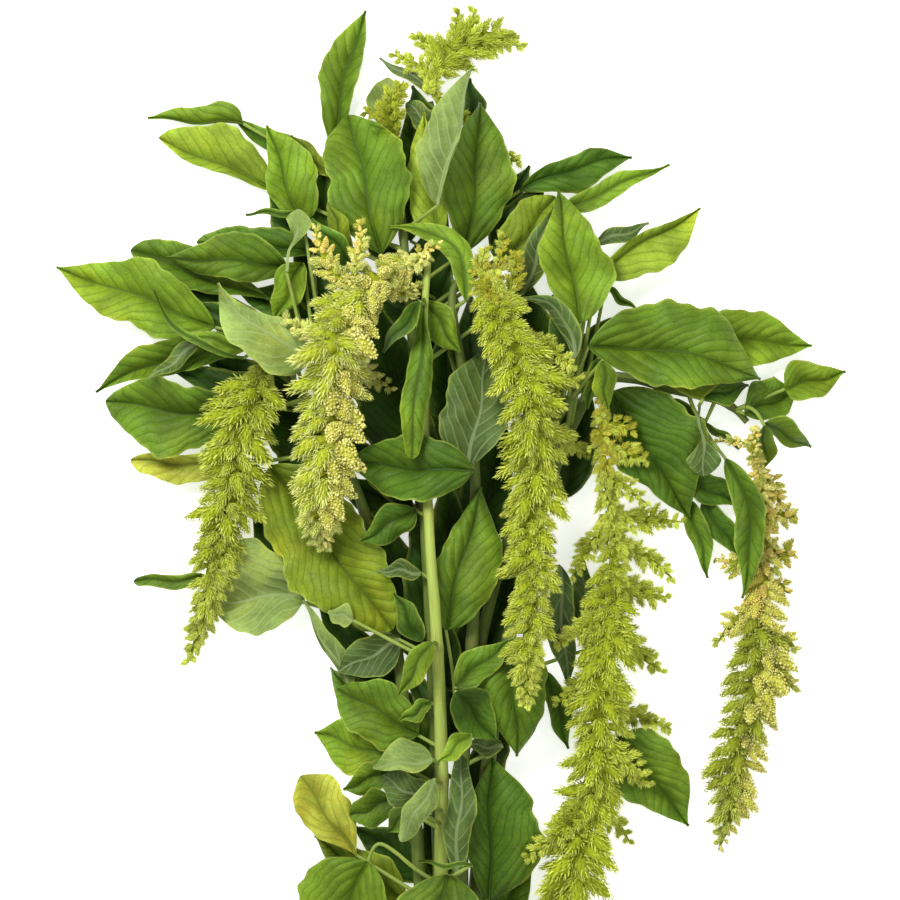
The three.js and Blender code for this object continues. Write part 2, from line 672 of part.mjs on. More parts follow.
// Middle surface of a leaf blade: rows of right edge, midrib and left edge from base to tip
function bladeRows([, base, tip, left, right, options = {}], level) {
  const { bow = 0, peak = USUAL_PEAK, blunt = 0 } = options;
  const from = place(base);
  const to = place(tip);
  const chord = to.clone().sub(from);
  const length = chord.length();
  const leftward = new THREE.Vector2(-chord.y, chord.x).normalize();
  const halves = [right, 0, left].map((half) => half * MM_PER_PIXEL);
  const whole = Math.max(...halves);
  const baseHeight = level * pileHeight(from.x, from.y);
  const tipHeight = TIP_SHARE * level * pileHeight(to.x, to.y);
  const last = Math.max(FEWEST_BLADE_ROWS, Math.round(length / BLADE_ROW_SPACING));

  const rib = (along) => {
    const side = bow * MM_PER_PIXEL * 4 * along * (1 - along);
    return from.clone().addScaledVector(chord, along).addScaledVector(leftward, side);
  };
  const rows = [];
  for (let row = 0; row <= last; row += 1) {
    const along = row / last;
    const middle = rib(along);
    const slope = rib(along + SLOPE_STEP).sub(rib(along - SLOPE_STEP));
    const side = new THREE.Vector2(-slope.y, slope.x).normalize();
    const share = bladeProfile(along, peak, blunt);
    const arch = BLADE_ARCH * length * 4 * along * (1 - along);
    const height = THREE.MathUtils.lerp(baseHeight, tipHeight, along) + arch;
    rows.push([-1, 0, 1].map((across) => {
      const half = halves[across + 1];
      const width = Math.max(BLADE_END_HALF_WIDTH, half * share);
      const fold = Math.min(HIGHEST_FOLD, FOLD_SHARE * Math.sqrt(whole ** 2 - half ** 2)) + BLADE_CUP * half;
      const ripple = row % 2 ? -BLADE_RIPPLE : BLADE_RIPPLE;
      return new THREE.Vector3(
        middle.x + side.x * width * across,
        middle.y + side.y * width * across,
        height + share * Math.abs(across) * (fold + ripple),
      );
    }));
  }
  return rows;
}

// Triangles of the upper face of a strip of rows of three corners
function stripFaces(rows) {
  const faces = [];
  for (let row = 0; row < rows - 1; row += 1) {
    for (const column of [0, 1]) {
      const corner = 3 * row + column;
      faces.push([corner, corner + 3, corner + 4]);
      faces.push([corner, corner + 4, corner + 1]);
    }
  }
  return faces;
}

// A closed strip with a thickness for each row, split alike on both faces
function stripSolid(rows, thicknesses) {
  const shifted = (sign) => rows.flatMap((row, index) => row.map((corner) => (
    new THREE.Vector3(corner.x, corner.y, corner.z + (sign * thicknesses[index]) / 2)
  )));
  const corners = [...shifted(1), ...shifted(-1)];
  const under = corners.length / 2;
  const faces = stripFaces(rows.length);
  const triangles = faces.concat(faces.map(([a, b, c]) => [under + a, under + c, under + b]));
  const wall = (a, b) => {
    triangles.push([a, under + a, under + b]);
    triangles.push([a, under + b, b]);
  };
  for (let row = 0; row < rows.length - 1; row += 1) {
    wall(3 * row, 3 * row + 3);
    wall(3 * row + 5, 3 * row + 2);
  }
  const end = under - 3;
  for (const column of [0, 1]) {
    wall(column + 1, column);
    wall(end + column, end + column + 1);
  }
  return solid(corners, triangles);
}

// Lays a blade on the pile, each corner as high as it needs to be
function layBlade(name, rows) {
  const corners = rows.flat();
  const lifts = corners.map(() => 0);
  const samples = stripFaces(rows.length).flatMap((face) => {
    const ends = face.map((corner) => corners[corner]);
    return [...triangleWeights(...ends)].map((weights) => ({ face, weights }));
  });
  const at = ({ face, weights }) => face.reduce(
    (sum, corner, index) => sum.addScaledVector(corners[corner], weights[index]),
    new THREE.Vector3(),
  );
  samples.forEach((sample) => {
    const { x, y, z } = at(sample);
    const need = pile.floor(x, y) - (z - BLADE_THICKNESS / 2);
    const square = sample.weights.reduce((sum, weight) => sum + weight ** 2, 0);
    sample.face.forEach((corner, index) => {
      lifts[corner] = Math.max(lifts[corner], (need * sample.weights[index]) / square);
    });
  });
  stiffen(lifts, (corner) => {
    const column = corner % 3;
    const around = [corner - 3, corner + 3].filter((other) => other >= 0 && other < corners.length);
    if (column > 0) around.push(corner - 1);
    if (column < 2) around.push(corner + 1);
    return around;
  });
  corners.forEach((corner, index) => {
    corner.z += lifts[index];
  });
  samples.forEach((sample) => {
    const { x, y, z } = at(sample);
    pile.add(name, x, y, z + BLADE_THICKNESS / 2);
  });
}

// Rows of a leaf's stalk, from inside the stem to the blade's base
function layStalk(name, stem, base, via = []) {
  const passed = via.map(place);
  const free = stem.filter(({ centre }) => centre.y > BUNDLE_TOP_Y).slice(0, -STALKLESS_STATIONS);
  const near = nearestPoint(free, passed[0] ?? base);
  const spot = new THREE.Vector2(near.point.x, near.point.y - STALK_LEAN * near.distance);
  const root = nearestPoint(free, spot).point;
  const points = [root, ...passed.map((point) => new THREE.Vector3(point.x, point.y, root.z)), base];
  points.forEach((point, index) => {
    point.z = THREE.MathUtils.lerp(root.z, base.z, index / (points.length - 1));
  });
  const curve = new THREE.CatmullRomCurve3(points, false, 'catmullrom', CURVE_TENSION);
  const centres = curve.getPoints(STALK_ROWS + passed.length);
  const stations = tubeStations(centres, centres.map(() => STALK_RADIUS * Math.SQRT2));
  layTube(name, stations, (index) => index === 0 || index === centres.length - 1, name);
  return stations.slice(0, -1).map(({ centre, left }) => [-1, 0, 1].map((across) => (
    new THREE.Vector3(
      centre.x + left.x * across * STALK_RADIUS,
      centre.y + left.y * across * STALK_RADIUS,
      centre.z,
    )
  )));
}

// A leaf: stalk and blade in one strip
function layLeaf(name, stem, leaf, level) {
  const blade = bladeRows(leaf, level);
  layBlade(name, blade);
  const stalk = layStalk(name, stem, blade[0][1].clone(), leaf[5]?.via);
  const thicknesses = [...stalk.map(() => 2 * STALK_RADIUS), ...blade.map(() => BLADE_THICKNESS)];
  return stripSolid([...stalk, ...blade], thicknesses);
}

// One flower cluster: a slim pyramid from inside the core to its tip
function cluster(root, tip, radius) {
  const axis = tip.clone().sub(root).normalize();
  const level = new THREE.Vector3(-axis.y, axis.x, 0).normalize();
  const up = axis.clone().cross(level);
  const corners = [];
  const triangles = [];
  for (let side = 0; side < CLUSTER_SIDES; side += 1) {
    const angle = (2 * Math.PI * side) / CLUSTER_SIDES;
    const corner = root.clone();
    corner.addScaledVector(level, radius * Math.cos(angle));
    corner.addScaledVector(up, radius * Math.sin(angle));
    corners.push(corner);
    triangles.push([side, (side + 1) % CLUSTER_SIDES, CLUSTER_SIDES]);
  }
  corners.push(tip);
  for (let side = 1; side < CLUSTER_SIDES - 1; side += 1) triangles.push([0, side + 1, side]);
  return solid(corners, triangles);
}

// Raises a cluster's tip until the whole of it clears the pile
function clearTip(name, root, tip, radius) {
  const steps = Math.ceil(root.distanceTo(tip) / CELL);
  const shares = Array.from({ length: steps }, (_, step) => (step + 1) / steps);
  let lift = 0;
  shares.forEach((share) => {
    const point = root.clone().lerp(tip, share);
    const below = radius * (1 - share);
    for (const across of [-below, 0, below]) {
      const need = pile.floor(point.x + across, point.y, name) - (point.z - below);
      lift = Math.max(lift, need / share);
    }
  });
  tip.z += lift;
  shares.forEach((share) => {
    const point = root.clone().lerp(tip, share);
    pile.add(name, point.x, point.y, point.z + radius * (1 - share));
  });
}

// One branch of a tassel: a slim core with clusters standing out of its upper side and flanks.
// It runs from a beginning, with a thin neck before it or none, through the rest of its table.
function layBranch(name, branch, { neck = [], point }, draw) {
  const halves = branch.map(([, , half]) => half * MM_PER_PIXEL);
  const points = branch.slice(1).map(([column, row], index) => {
    const { x, y } = place([column, row]);
    return new THREE.Vector3(x, y, TASSEL_FLATNESS * CORE_SHARE * halves[index + 1]);
  });
  const curve = new THREE.CatmullRomCurve3([point, ...points], false, 'catmullrom', CURVE_TENSION);
  const length = curve.getLength();
  const count = Math.max(FEWEST_CORE_STATIONS, Math.round(length / CORE_STATION_SPACING));
  const halfAt = (share) => {
    const spot = Math.min(share * (halves.length - 1), halves.length - 1.001);
    const index = Math.floor(spot);
    return THREE.MathUtils.lerp(halves[index], halves[index + 1], spot - index);
  };
  const centres = [...neck, ...curve.getPoints(count)];
  const radii = centres.map((_, index) => {
    const share = Math.max(0, index - neck.length) / count;
    return Math.max(THINNEST_CORE, CORE_SHARE * halfAt(share));
  });
  const stations = tubeStations(centres, radii, TASSEL_FLATNESS);
  layTube(name, stations, (index) => index === 0, name);
  const solids = [tube(stations, CORE_SIDES)];

  const mean = halves.reduce((sum, half) => sum + half, 0) / halves.length;
  const clusters = Math.round((length * Math.PI * mean) / CLUSTER_SPACING ** 2);
  for (let turn = 0; turn < clusters; turn += 1) {
    const share = THREE.MathUtils.lerp(CLUSTER_START / length, 1, (turn + 0.5) / clusters);
    const index = Math.min(Math.floor(share * count), count - 1);
    const from = stations[neck.length + index];
    const to = stations[neck.length + index + 1];
    const root = from.centre.clone().lerp(to.centre, share * count - index);
    const ahead = to.centre.clone().sub(from.centre).normalize();
    const half = Math.max(SMALLEST_CLUSTER, halfAt(share));
    const turned = (turn * GOLDEN_SHARE + CLUSTER_TURN.scatter * draw()) % 1;
    const angle = Math.PI * (turned * CLUSTER_TURN.spread + CLUSTER_TURN.start);
    const reach = half * (CLUSTER_REACH.least + CLUSTER_REACH.scatter * draw());
    const across = reach * Math.cos(angle);
    const slant = CLUSTER_SLANT.least + CLUSTER_SLANT.scatter * draw();
    const tip = root.clone().addScaledVector(ahead, reach * slant);
    tip.x += from.left.x * across;
    tip.y += from.left.y * across;
    tip.z += TASSEL_FLATNESS * reach * Math.sin(angle);
    const radius = Math.max(THINNEST_CORE, CLUSTER_SHARE * half);
    clearTip(name, root, tip, radius);
    solids.push(cluster(root, tip, radius));
  }
  return { solids, stations };
}

// A whole tassel from the end of its stem
function layTassel(number, stem) {
  const name = `tassel_${number}`;
  const draw = seededDraw(number);
  const end = stem.at(-1).centre;
  const ahead = end.clone().sub(stem.at(-2).centre).setZ(0).normalize();
  const start = end.clone().addScaledVector(ahead, TASSEL_GAP);
  const point = start.clone().addScaledVector(ahead, TASSEL_NECK);
  const [main, ...sides] = TASSELS[number];
  const trunk = layBranch(name, main, { neck: [start], point }, draw);
  const solids = [...trunk.solids];
  const runs = [trunk.stations];
  sides.forEach((branch) => {
    const spot = place(branch[0]);
    const roots = runs.map((run) => nearestPoint(run, spot));
    const nearest = roots.reduce((best, other) => (other.distance < best.distance ? other : best));
    const side = layBranch(name, branch, nearest, draw);
    solids.push(...side.solids);
    runs.push(side.stations);
  });
  return solids;
}

// The rubber band: a strap round the outer six stems, flat where it lies on the table
function band() {
  const outline = (radius) => BAND_SLOTS.flatMap((slot, index) => {
    const { x, z } = slotMiddle(slot);
    return Array.from({ length: BAND_ARC_STEPS + 1 }, (_, step) => {
      const angle = -Math.PI / 2 + ((index + step / BAND_ARC_STEPS) * Math.PI) / 3;
      return new THREE.Vector2(x + radius * Math.cos(angle), z + radius * Math.sin(angle));
    });
  });
  const inside = STEM_CUT_RADIUS + BAND_CLEARANCE;
  const shape = new THREE.Shape(outline(inside + BAND_THICKNESS));
  shape.holes.push(new THREE.Path(outline(inside)));
  const geometry = new THREE.ExtrudeGeometry(shape, { depth: BAND_WIDTH, bevelEnabled: false });
  geometry.rotateX(Math.PI / 2);
  geometry.translate(0, BAND_WIDTH / 2, 0);
  return geometry;
}

// Geometry of fused solids
function fused(solids) {
  const bodies = wasm.Manifold.union(solids).decompose();
  const whole = bodies.reduce((best, other) => (other.volume() > best.volume() ? other : best));
  const mesh = whole.getMesh();
  const geometry = new THREE.BufferGeometry();
  geometry.setAttribute('position', new THREE.BufferAttribute(mesh.vertProperties, 3));
  geometry.setIndex(new THREE.BufferAttribute(mesh.triVerts, 1));
  geometry.computeVertexNormals();
  return geometry;
}

function named(name, geometry, colour, roughness) {
  const material = new THREE.MeshStandardMaterial({ color: colour, roughness, metalness: 0 });
  const mesh = new THREE.Mesh(geometry, material);
  mesh.name = name;
  return mesh;
}

// Piling up the bunch, layer by layer
const stems = {};
const pieces = new Map();

for (const { stem, level, leaves, tassel } of LAYERS) {
  const name = `leafy_stem_${stem}`;
  if (!stems[stem]) {
    stems[stem] = layStem(stem, level);
    pieces.set(name, [tube(stems[stem], STEM_SIDES)]);
  }
  for (const leaf of leaves) pieces.get(name).push(layLeaf(name, stems[stem], leaf, level));
  if (tassel) pieces.set(`tassel_${tassel}`, layTassel(tassel, stems[tassel]));
}

const bunch = new THREE.Group();
bunch.name = 'amaranth_bunch';
for (const [name, solids] of pieces) {
  const colour = name.startsWith('tassel') ? COLOURS.tassel : COLOURS.leaf;
  bunch.add(named(name, fused(solids), colour, PLANT_ROUGHNESS));
}
bunch.add(named('stem_band', band(), COLOURS.band, BAND_ROUGHNESS));

export default bunch;
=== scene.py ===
"""A bunch of green hanging amaranth lying on a table, seen from straight above.

Lengths are millimetres until a mesh is made. Places are read as [column, row] of the photograph.
"""
import math

import bpy
import numpy as np
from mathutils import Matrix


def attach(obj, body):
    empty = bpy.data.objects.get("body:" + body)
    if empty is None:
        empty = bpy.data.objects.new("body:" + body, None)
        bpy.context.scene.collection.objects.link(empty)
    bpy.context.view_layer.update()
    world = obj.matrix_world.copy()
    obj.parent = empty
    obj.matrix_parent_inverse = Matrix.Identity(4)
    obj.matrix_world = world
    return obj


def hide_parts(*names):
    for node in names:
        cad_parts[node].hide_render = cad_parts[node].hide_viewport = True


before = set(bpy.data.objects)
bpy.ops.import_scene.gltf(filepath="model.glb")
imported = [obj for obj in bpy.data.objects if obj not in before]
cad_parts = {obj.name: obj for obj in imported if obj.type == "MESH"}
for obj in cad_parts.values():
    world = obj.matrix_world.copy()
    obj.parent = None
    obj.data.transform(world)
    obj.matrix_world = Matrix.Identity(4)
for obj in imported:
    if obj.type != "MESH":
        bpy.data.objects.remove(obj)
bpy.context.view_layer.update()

# Scale of the photograph, the frame it shares with the solids, and how curves are drawn
METRES = 0.001
MM_PER_PIXEL = 0.55
MIDDLE_COLUMN = 450
LOWEST_ROW = 900
LOWEST_ROW_Y = 90
PICTURE_PIXELS = 900
PICTURE_MIDDLE_Y = (LOWEST_ROW_Y + PICTURE_PIXELS * MM_PER_PIXEL / 2) * METRES
CURVE_TENSION = 0.5
LENGTH_SAMPLES = 201

# Stems
STEM_CUT_RADIUS = 5.0
STEM_TOP_RADIUS = 1.8
STEM_CUT_Y = -70
STEM_STATIONS = 16
STEM_RIBS = 7
BUNDLE_TOP_Y = 45
STALK_RADIUS = 1.2
STALK_ROWS = 2
STALK_LEAN = 0.6
STALKLESS_STATIONS = 1

# Rubber band
BAND_THICKNESS = 1.2
BAND_WIDTH = 7
BAND_CLEARANCE = 0.4
BAND_SOFTNESS = 0.35
BAND_ARC_STEPS = 8
BAND_SLOTS = [(0.5, 0), (1, 1), (0.5, 2), (-0.5, 2), (-1, 1), (-0.5, 0)]
SLOT_SPACING = 2 * STEM_CUT_RADIUS + BAND_CLEARANCE

# Leaf blades
BLADE_THICKNESS = 0.9
BLADE_END_HALF_WIDTH = 0.8
BLADE_ROW_SPACING = 28
FEWEST_BLADE_ROWS = 2
BLADE_CUP = 0.14
BLADE_ARCH = 0.05
BLADE_RIPPLE = 1
HIGHEST_FOLD = 5
FOLD_SHARE = 0.5
USUAL_PEAK = 0.42
BLADE_ROUNDNESS = 0.75
TIP_SHARPNESS = 0.35
SLOPE_STEP = 0.01

# Fine leaf surface: mesh, thickness, veins, midrib and wavy margins
BLADE_MESH = 1.6
DEEP_BLADE_MESH = 3.0
FEWEST_FINE_ROWS = 10
FEWEST_FINE_COLUMNS = 4
LEAF_THICKNESS = 0.45
VEIN_SPACING = 9.5
FEWEST_VEINS = 6
VEIN_LEAN = 1.35
VEIN_CURVE = 0.02
VEIN_DEPTH = 1.5
VEINLESS_WIDTH = 4
RIB_DEPTH = 0.7
RIB_WIDTHS = (1.0, 0.35)
FULL_RELIEF_HALF_WIDTH = 12
EDGE_WAVES = [(62, 0.08), (27, 0.055), (11, 0.03)]
EDGE_RIPPLE = 2.0
EDGE_RIPPLE_LENGTH = 27
WOBBLE = 1.5
WOBBLE_WAVES = 1.2
VEIN_SIDE_SHIFT = 0.4
VEIN_UNEVENNESS = 0.3
UNEVEN_WAVES = 1.7
SWELL = 0.9
SWELL_LENGTH = 34
HALF_BULGE = 0.13
VEE = 0.1
BLUNT_ROUNDING = 0.9
BLUNT_REACH = 6

# Tassels
CORE_SHARE = 0.7
CORE_STATION_SPACING = 24
FEWEST_CORE_STATIONS = 2
END_MARGIN = 0.001
THINNEST_CORE = 1
CLUSTER_SPACING = 24
CLUSTER_START = 5
CLUSTER_TURN = {"spread": 1.2, "start": -0.1, "scatter": 0.15}
CLUSTER_REACH = {"least": 0.85, "scatter": 0.3}
CLUSTER_SLANT = {"least": 0.45, "scatter": 0.4}
CLUSTER_SHARE = 0.26
SMALLEST_CLUSTER = 2.5
GOLDEN_SHARE = 0.618
GOLDEN_ANGLE = math.pi * (3 - math.sqrt(5))
TASSEL_FLATNESS = 0.6
TASSEL_GAP = 0.4
TASSEL_NECK = 4

# How the pieces lie on each other
PILE_HEIGHT = 40
PILE_MIDDLE_Y = 345
PILE_HALF_WIDTH = 225
PILE_HALF_LENGTH = 330
TIP_SHARE = 0.75
LAYER_GAP = 1.3
CELL = 2
PILE_LOW = (-270, -100)
PILE_CELLS = (370, 270)
STIFFENING_PASSES = 3
STIFFNESS = 0.7
FINE_CELL = 1.25
FINE_GAP = 0.15
SETTLING_PASSES = 6
SETTLING_SHARE = 0.95

# Seeds, brightness of single leaves, partly their own tone and partly painted light and shade for how each is
# tilted to the lamps, painted shade darkening each leaf towards its base and midrib, and their pale margins
LEAF_SEED = 11
DRAW_FACTOR = 1664525
DRAW_STEP = 1013904223
DRAW_RANGE = 2 ** 32
LEAF_TONE_AND_TILT_LIGHT = (0.88, 1.12)
LEAF_BASE_AND_MIDRIB_SHADE = (0.62, 1.15)
MARGIN_START = 0.9
MARGIN_SHARE = 0.5

# Places of the materials on a piece
LEAF_SLOT = 0
STEM_SLOT = 1
ONLY_SLOT = 0

# Fine stems and stalks
FRONT_STEM = 2
STEM_SIDES = 16
STALK_SIDES = 8
STALK_RIBS = 3
STALK_RADII = (1.3, 0.9)
TUBE_STEP = 4
FEWEST_TUBE_ROWS = 6
RIB_RELIEF = 0.05
NODE_SPACING = 76
NODE_LENGTH = 3
NODE_SWELL = 0.16
NODE_SHARE = 0.6

# Fine tassels: mounds of bracts and of round florets
CORE_STEP = 5
CORE_SIDES = 10
FINE_CORE_SHARE = 0.25
CORE_PAINTED_SHADE = 0.7
THINNEST_BRANCH = 1.4
MOUND_SPACING = 2.1
MOUND_SPACING_SHARE = 0.345
MOUND_SPREAD = 0.62
MOUND_TURN_SCATTER = 0.1
MOUND_AXIS_SCATTER = 0.1
NEARLY_UPRIGHT = (0.01, 0.02, 1)
MOUND_REACH = (0.27, 0.63)
MOUND_SLANT = (0.4, 1.05)
MOUND_SHARE = 0.24
MOUND_VARIETY = (0.65, 1.3)
MOUND_STRETCH = 1.9
MOUND_POINT = 1.5
MOUND_TAPER = 1.3
MOUND_FACE = -0.75
LOWEST_OUTWARD = -0.35
MOUND_SHADES = (0.85, 1.12)
SMALLEST_MOUND = 0.9
BODY_SHARE = 0.72
BODY_RINGS = 6
BODY_SIDES = 7
BRACTS_PER_MM = 26
BRACT_COUNTS = (46, 108)
BRACT_FOOT = 0.75
BRACT_LEAN = 1.3
LEAN_RADIUS = 4
LEAN_SHARES = (0.9, 1.3)
BRACT_SCATTER = 0.28
BRACT_SIZES = (0.4, 0.75)
SHORTEST_BRACT = 2.7
BRACT_SLIMNESS = 0.17
BRACT_WIDTHS = (0.28, 0.7)
BRACT_TONES = (0.5, 1.2)
BRACT_SHADING = (0.3, 0.3, 0.3, 1)
BRACT_FACES = [(0, 1, 3), (1, 2, 3), (2, 0, 3), (0, 2, 1)]
GOLDEN_ROWS = {2: 255, 3: 310, 4: 470, 5: 610}
GOLDEN_CHANCE = 0.6
GOLDEN_MIX = 0.6
FLORETS_PER_MM = 38
FLORET_COUNTS = (46, 170)
FLORET_FOOT = 0.8
FLORET_SHARE = 0.16
FLORET_SIZES = (0.7, 1.2)
FLORET_SCATTER = 0.05
FLORET_TONES = (0.1, 1)
SMALLEST_FLORET = 0.55
FLORET_CORNERS = [(1, 0, 0), (0, 1, 0), (-1, 0, 0), (0, -1, 0), (0, 0, 1), (0, 0, -1)]
FLORET_FACES = [(0, 1, 4), (1, 2, 4), (2, 3, 4), (3, 0, 4), (1, 0, 5), (2, 1, 5), (3, 2, 5), (0, 3, 5)]
BEADED_ABOVE = {2: 291, 5: 640}
BEADED_SIDE = 0.0
BEADED_CHANCE = 0.8

# Patterns of the materials: sizes of the noise, limits of its tones, and bumps as strength and depth
NOISE_LIMITS = (0.3, 0.7)
VEIN_LIMITS = (0.36, 0.5)
VEIN_STRENGTH = 0.7
MIDRIB_LIMITS = (1.6, 0.6)
NET_NOISE = (700, 4.0, 0.7)
NET_RELIEF = 0.5
NET_TONES = (0.86, 1.12)
BLOTCH_SCALE = 34
BLOTCH_LIMITS = (0.45, 0.75)
YELLOWING = (1.25, 1.05, 0.8, 1)
GREEN_SCALE = 60
GREEN_TONES = (0.7, 1.2)
PALE_VEIN = (0.5, 0.6, 0.28, 1)
PALE_VEIN_SHARE = 0.3
DARK_VEIN_AND_GROOVE_SHADE = (0.45, 0.52, 0.4, 1)
VEIN_SHARE = 0.75
LEAF_BUMP = (0.35, 0.0006)
STREAKS_ROUND = 6.0
STREAKS_ALONG = 0.035
STREAK_SCALE = 1.6
STREAK_DETAIL = 3.0
STREAK_TONES = (0.72, 1.12)
STEM_BUMP = (0.3, 0.0005)
TUFT_SCALE = 120
TUFT_TONES = (0.86, 1.14)
TASSEL_GRAIN_SCALE = 600
TASSEL_BUMP = (0.6, 0.001)
DUST_NOISE = (900, 4.0)
DUST_TONES = (0.85, 1.1)
RUBBER_BUMP = (0.2, 0.0003)

# Table, light and camera, in metres and watts
FLOOR_SIZE = 6
FLOOR_COLOUR = (0.9, 0.9, 0.9, 1)
WHITE = (1, 1, 1, 1)
FLOOR_GLOW = 0.6
WORLD_STRENGTH = 0.41
CAMERA_DISTANCE = 5
CAMERA_FOCUS_HEIGHT = 0.03
CAMERA_SENSOR = 36
LIGHTS = [
    ("key", (-0.6, 1.1, 1.3), 0.7, 29),
    ("fill", (0.9, 0.2, 1.6), 1.4, 7),
    ("front", (0.0, -0.6, 1.8), 1.2, 6.5),
]

# Stems by number: the slot in the bundle, then the pixels that the stem passes on its way up
STEMS = {
    1: ((-1, 1), [(422, 900), (406, 720), (382, 570), (342, 455), (300, 390), (272, 370)]),
    2: ((-0.5, 2), [(441, 900), (442, 790), (440, 700), (436, 620), (430, 540), (425, 420), (424, 330),
        (428, 264)]),
    3: ((0.5, 2), [(460, 900), (461, 800), (468, 700), (476, 560), (472, 430), (455, 330), (456, 283),
        (486, 273)]),
    4: ((0, 1), [(452, 900), (466, 720), (502, 560), (545, 445), (575, 392), (596, 394)]),
    5: ((1, 1), [(476, 900), (494, 720), (528, 560), (566, 440), (606, 378), (656, 386), (702, 396),
        (730, 405), (748, 422)]),
    6: ((0.5, 0), [(462, 900), (460, 700), (456, 500), (448, 300), (440, 160), (430, 100)]),
    7: ((-0.5, 0), [(440, 900), (434, 700), (424, 500), (410, 310), (400, 200), (395, 144)]),
}

# Tassels by stem: branches through (column, row, half-width in pixels), the main one first
TASSELS = {
    1: [
        [(272, 370, 4), (256, 388, 34), (245, 412, 40), (237, 445, 41), (230, 485, 38), (223, 520, 34),
         (214, 560, 30), (208, 598, 21), (199, 628, 14), (187, 664, 2)],
    ],
    2: [
        [(428, 263, 4), (404, 268, 22), (376, 283, 28), (350, 310, 37), (338, 345, 43), (333, 395, 38),
         (331, 440, 39), (324, 490, 33), (322, 525, 25), (325, 549, 3)],
        [(408, 264, 8), (424, 254, 11), (440, 243, 2)],
        [(350, 300, 12), (328, 262, 18), (315, 228, 2)],
        [(356, 290, 10), (360, 254, 11), (360, 221, 2)],
        [(334, 348, 8), (307, 334, 11), (285, 318, 2)],
        [(345, 352, 14), (366, 372, 14), (393, 390, 2)],
        [(380, 284, 10), (405, 294, 11), (420, 283, 2)],
    ],
    3: [
        [(487, 273, 4), (494, 300, 28), (509, 340, 35), (526, 380, 37), (534, 425, 38), (536, 465, 38),
         (532, 510, 35), (532, 560, 29), (531, 610, 26), (526, 655, 23), (525, 705, 5)],
        [(490, 300, 14), (481, 272, 12), (486, 248, 2)],
        [(497, 298, 8), (501, 262, 7), (503, 233, 2)],
        [(505, 315, 12), (513, 280, 13), (517, 251, 2)],
        [(515, 335, 14), (545, 348, 14), (575, 369, 2)],
        [(532, 375, 14), (558, 381, 15), (582, 380, 2)],
        [(543, 425, 14), (566, 441, 13), (588, 453, 2)],
    ],
    4: [
        [(597, 395, 4), (600, 430, 9), (605, 470, 13), (612, 515, 15), (615, 555, 18), (611, 605, 30),
         (605, 650, 38), (601, 700, 34), (598, 745, 34), (590, 795, 36), (577, 845, 41),
         (567, 890, 40), (562, 940, 32), (550, 990, 20), (541, 1030, 2)],
        [(601, 428, 7), (617, 424, 15), (634, 431, 3)],
        [(605, 448, 7), (626, 452, 13), (648, 461, 3)],
        [(606, 472, 8), (624, 486, 13), (647, 504, 2)],
        [(612, 515, 9), (646, 520, 20), (683, 522, 2)],
        [(615, 542, 9), (646, 556, 17), (675, 580, 2)],
        [(614, 580, 9), (641, 594, 21), (669, 598, 2)],
        [(611, 610, 12), (637, 650, 18), (664, 674, 2)],
        [(609, 520, 5), (591, 546, 15), (571, 578, 2)],
        [(606, 612, 13), (581, 630, 14), (555, 646, 2)],
        [(601, 665, 12), (580, 686, 16), (555, 704, 2)],
        [(603, 700, 13), (640, 716, 14), (673, 731, 2)],
        [(600, 745, 13), (626, 762, 18), (649, 786, 3)],
        [(589, 800, 13), (560, 830, 17), (524, 859, 2)],
        [(596, 810, 12), (617, 826, 11), (631, 844, 2)],
    ],
    5: [
        [(749, 423, 4), (757, 465, 11), (766, 510, 13), (767, 552, 19), (761, 595, 25), (761, 640, 34),
         (760, 680, 36), (748, 725, 35), (738, 760, 36), (734, 795, 28), (729, 825, 16), (720, 853, 2)],
        [(757, 465, 6), (752, 448, 8), (756, 429, 2)],
        [(756, 447, 5), (735, 441, 7), (713, 442, 2)],
        [(760, 472, 9), (773, 486, 19), (783, 506, 5)],
        [(767, 515, 10), (785, 516, 18), (798, 515, 5)],
        [(767, 550, 11), (784, 555, 18), (797, 555, 5)],
        [(765, 588, 10), (780, 586, 16), (791, 594, 4)],
        [(768, 630, 12), (786, 640, 17), (798, 651, 4)],
        [(768, 660, 12), (784, 676, 16), (798, 693, 4)],
        [(757, 560, 10), (738, 563, 16), (716, 559, 3)],
        [(752, 600, 10), (736, 622, 15), (718, 645, 3)],
    ],
    6: [
        [(430, 99, 4), (434, 77, 23), (446, 56, 28), (464, 40, 28), (486, 35, 23), (506, 37, 13),
         (523, 45, 2)],
        [(450, 48, 9), (456, 26, 10), (459, 6, 2)],
        [(465, 44, 9), (472, 26, 10), (474, 6, 2)],
        [(444, 58, 9), (427, 42, 10), (411, 30, 2)],
        [(436, 74, 9), (413, 62, 10), (391, 53, 2)],
        [(434, 90, 4), (478, 128, 6), (506, 156, 9), (522, 160, 2)],
    ],
    7: [
        [(395, 143, 4), (391, 127, 16), (389, 110, 18), (396, 96, 12), (404, 80, 2)],
        [(391, 120, 8), (378, 112, 8), (363, 112, 2)],
    ],
}

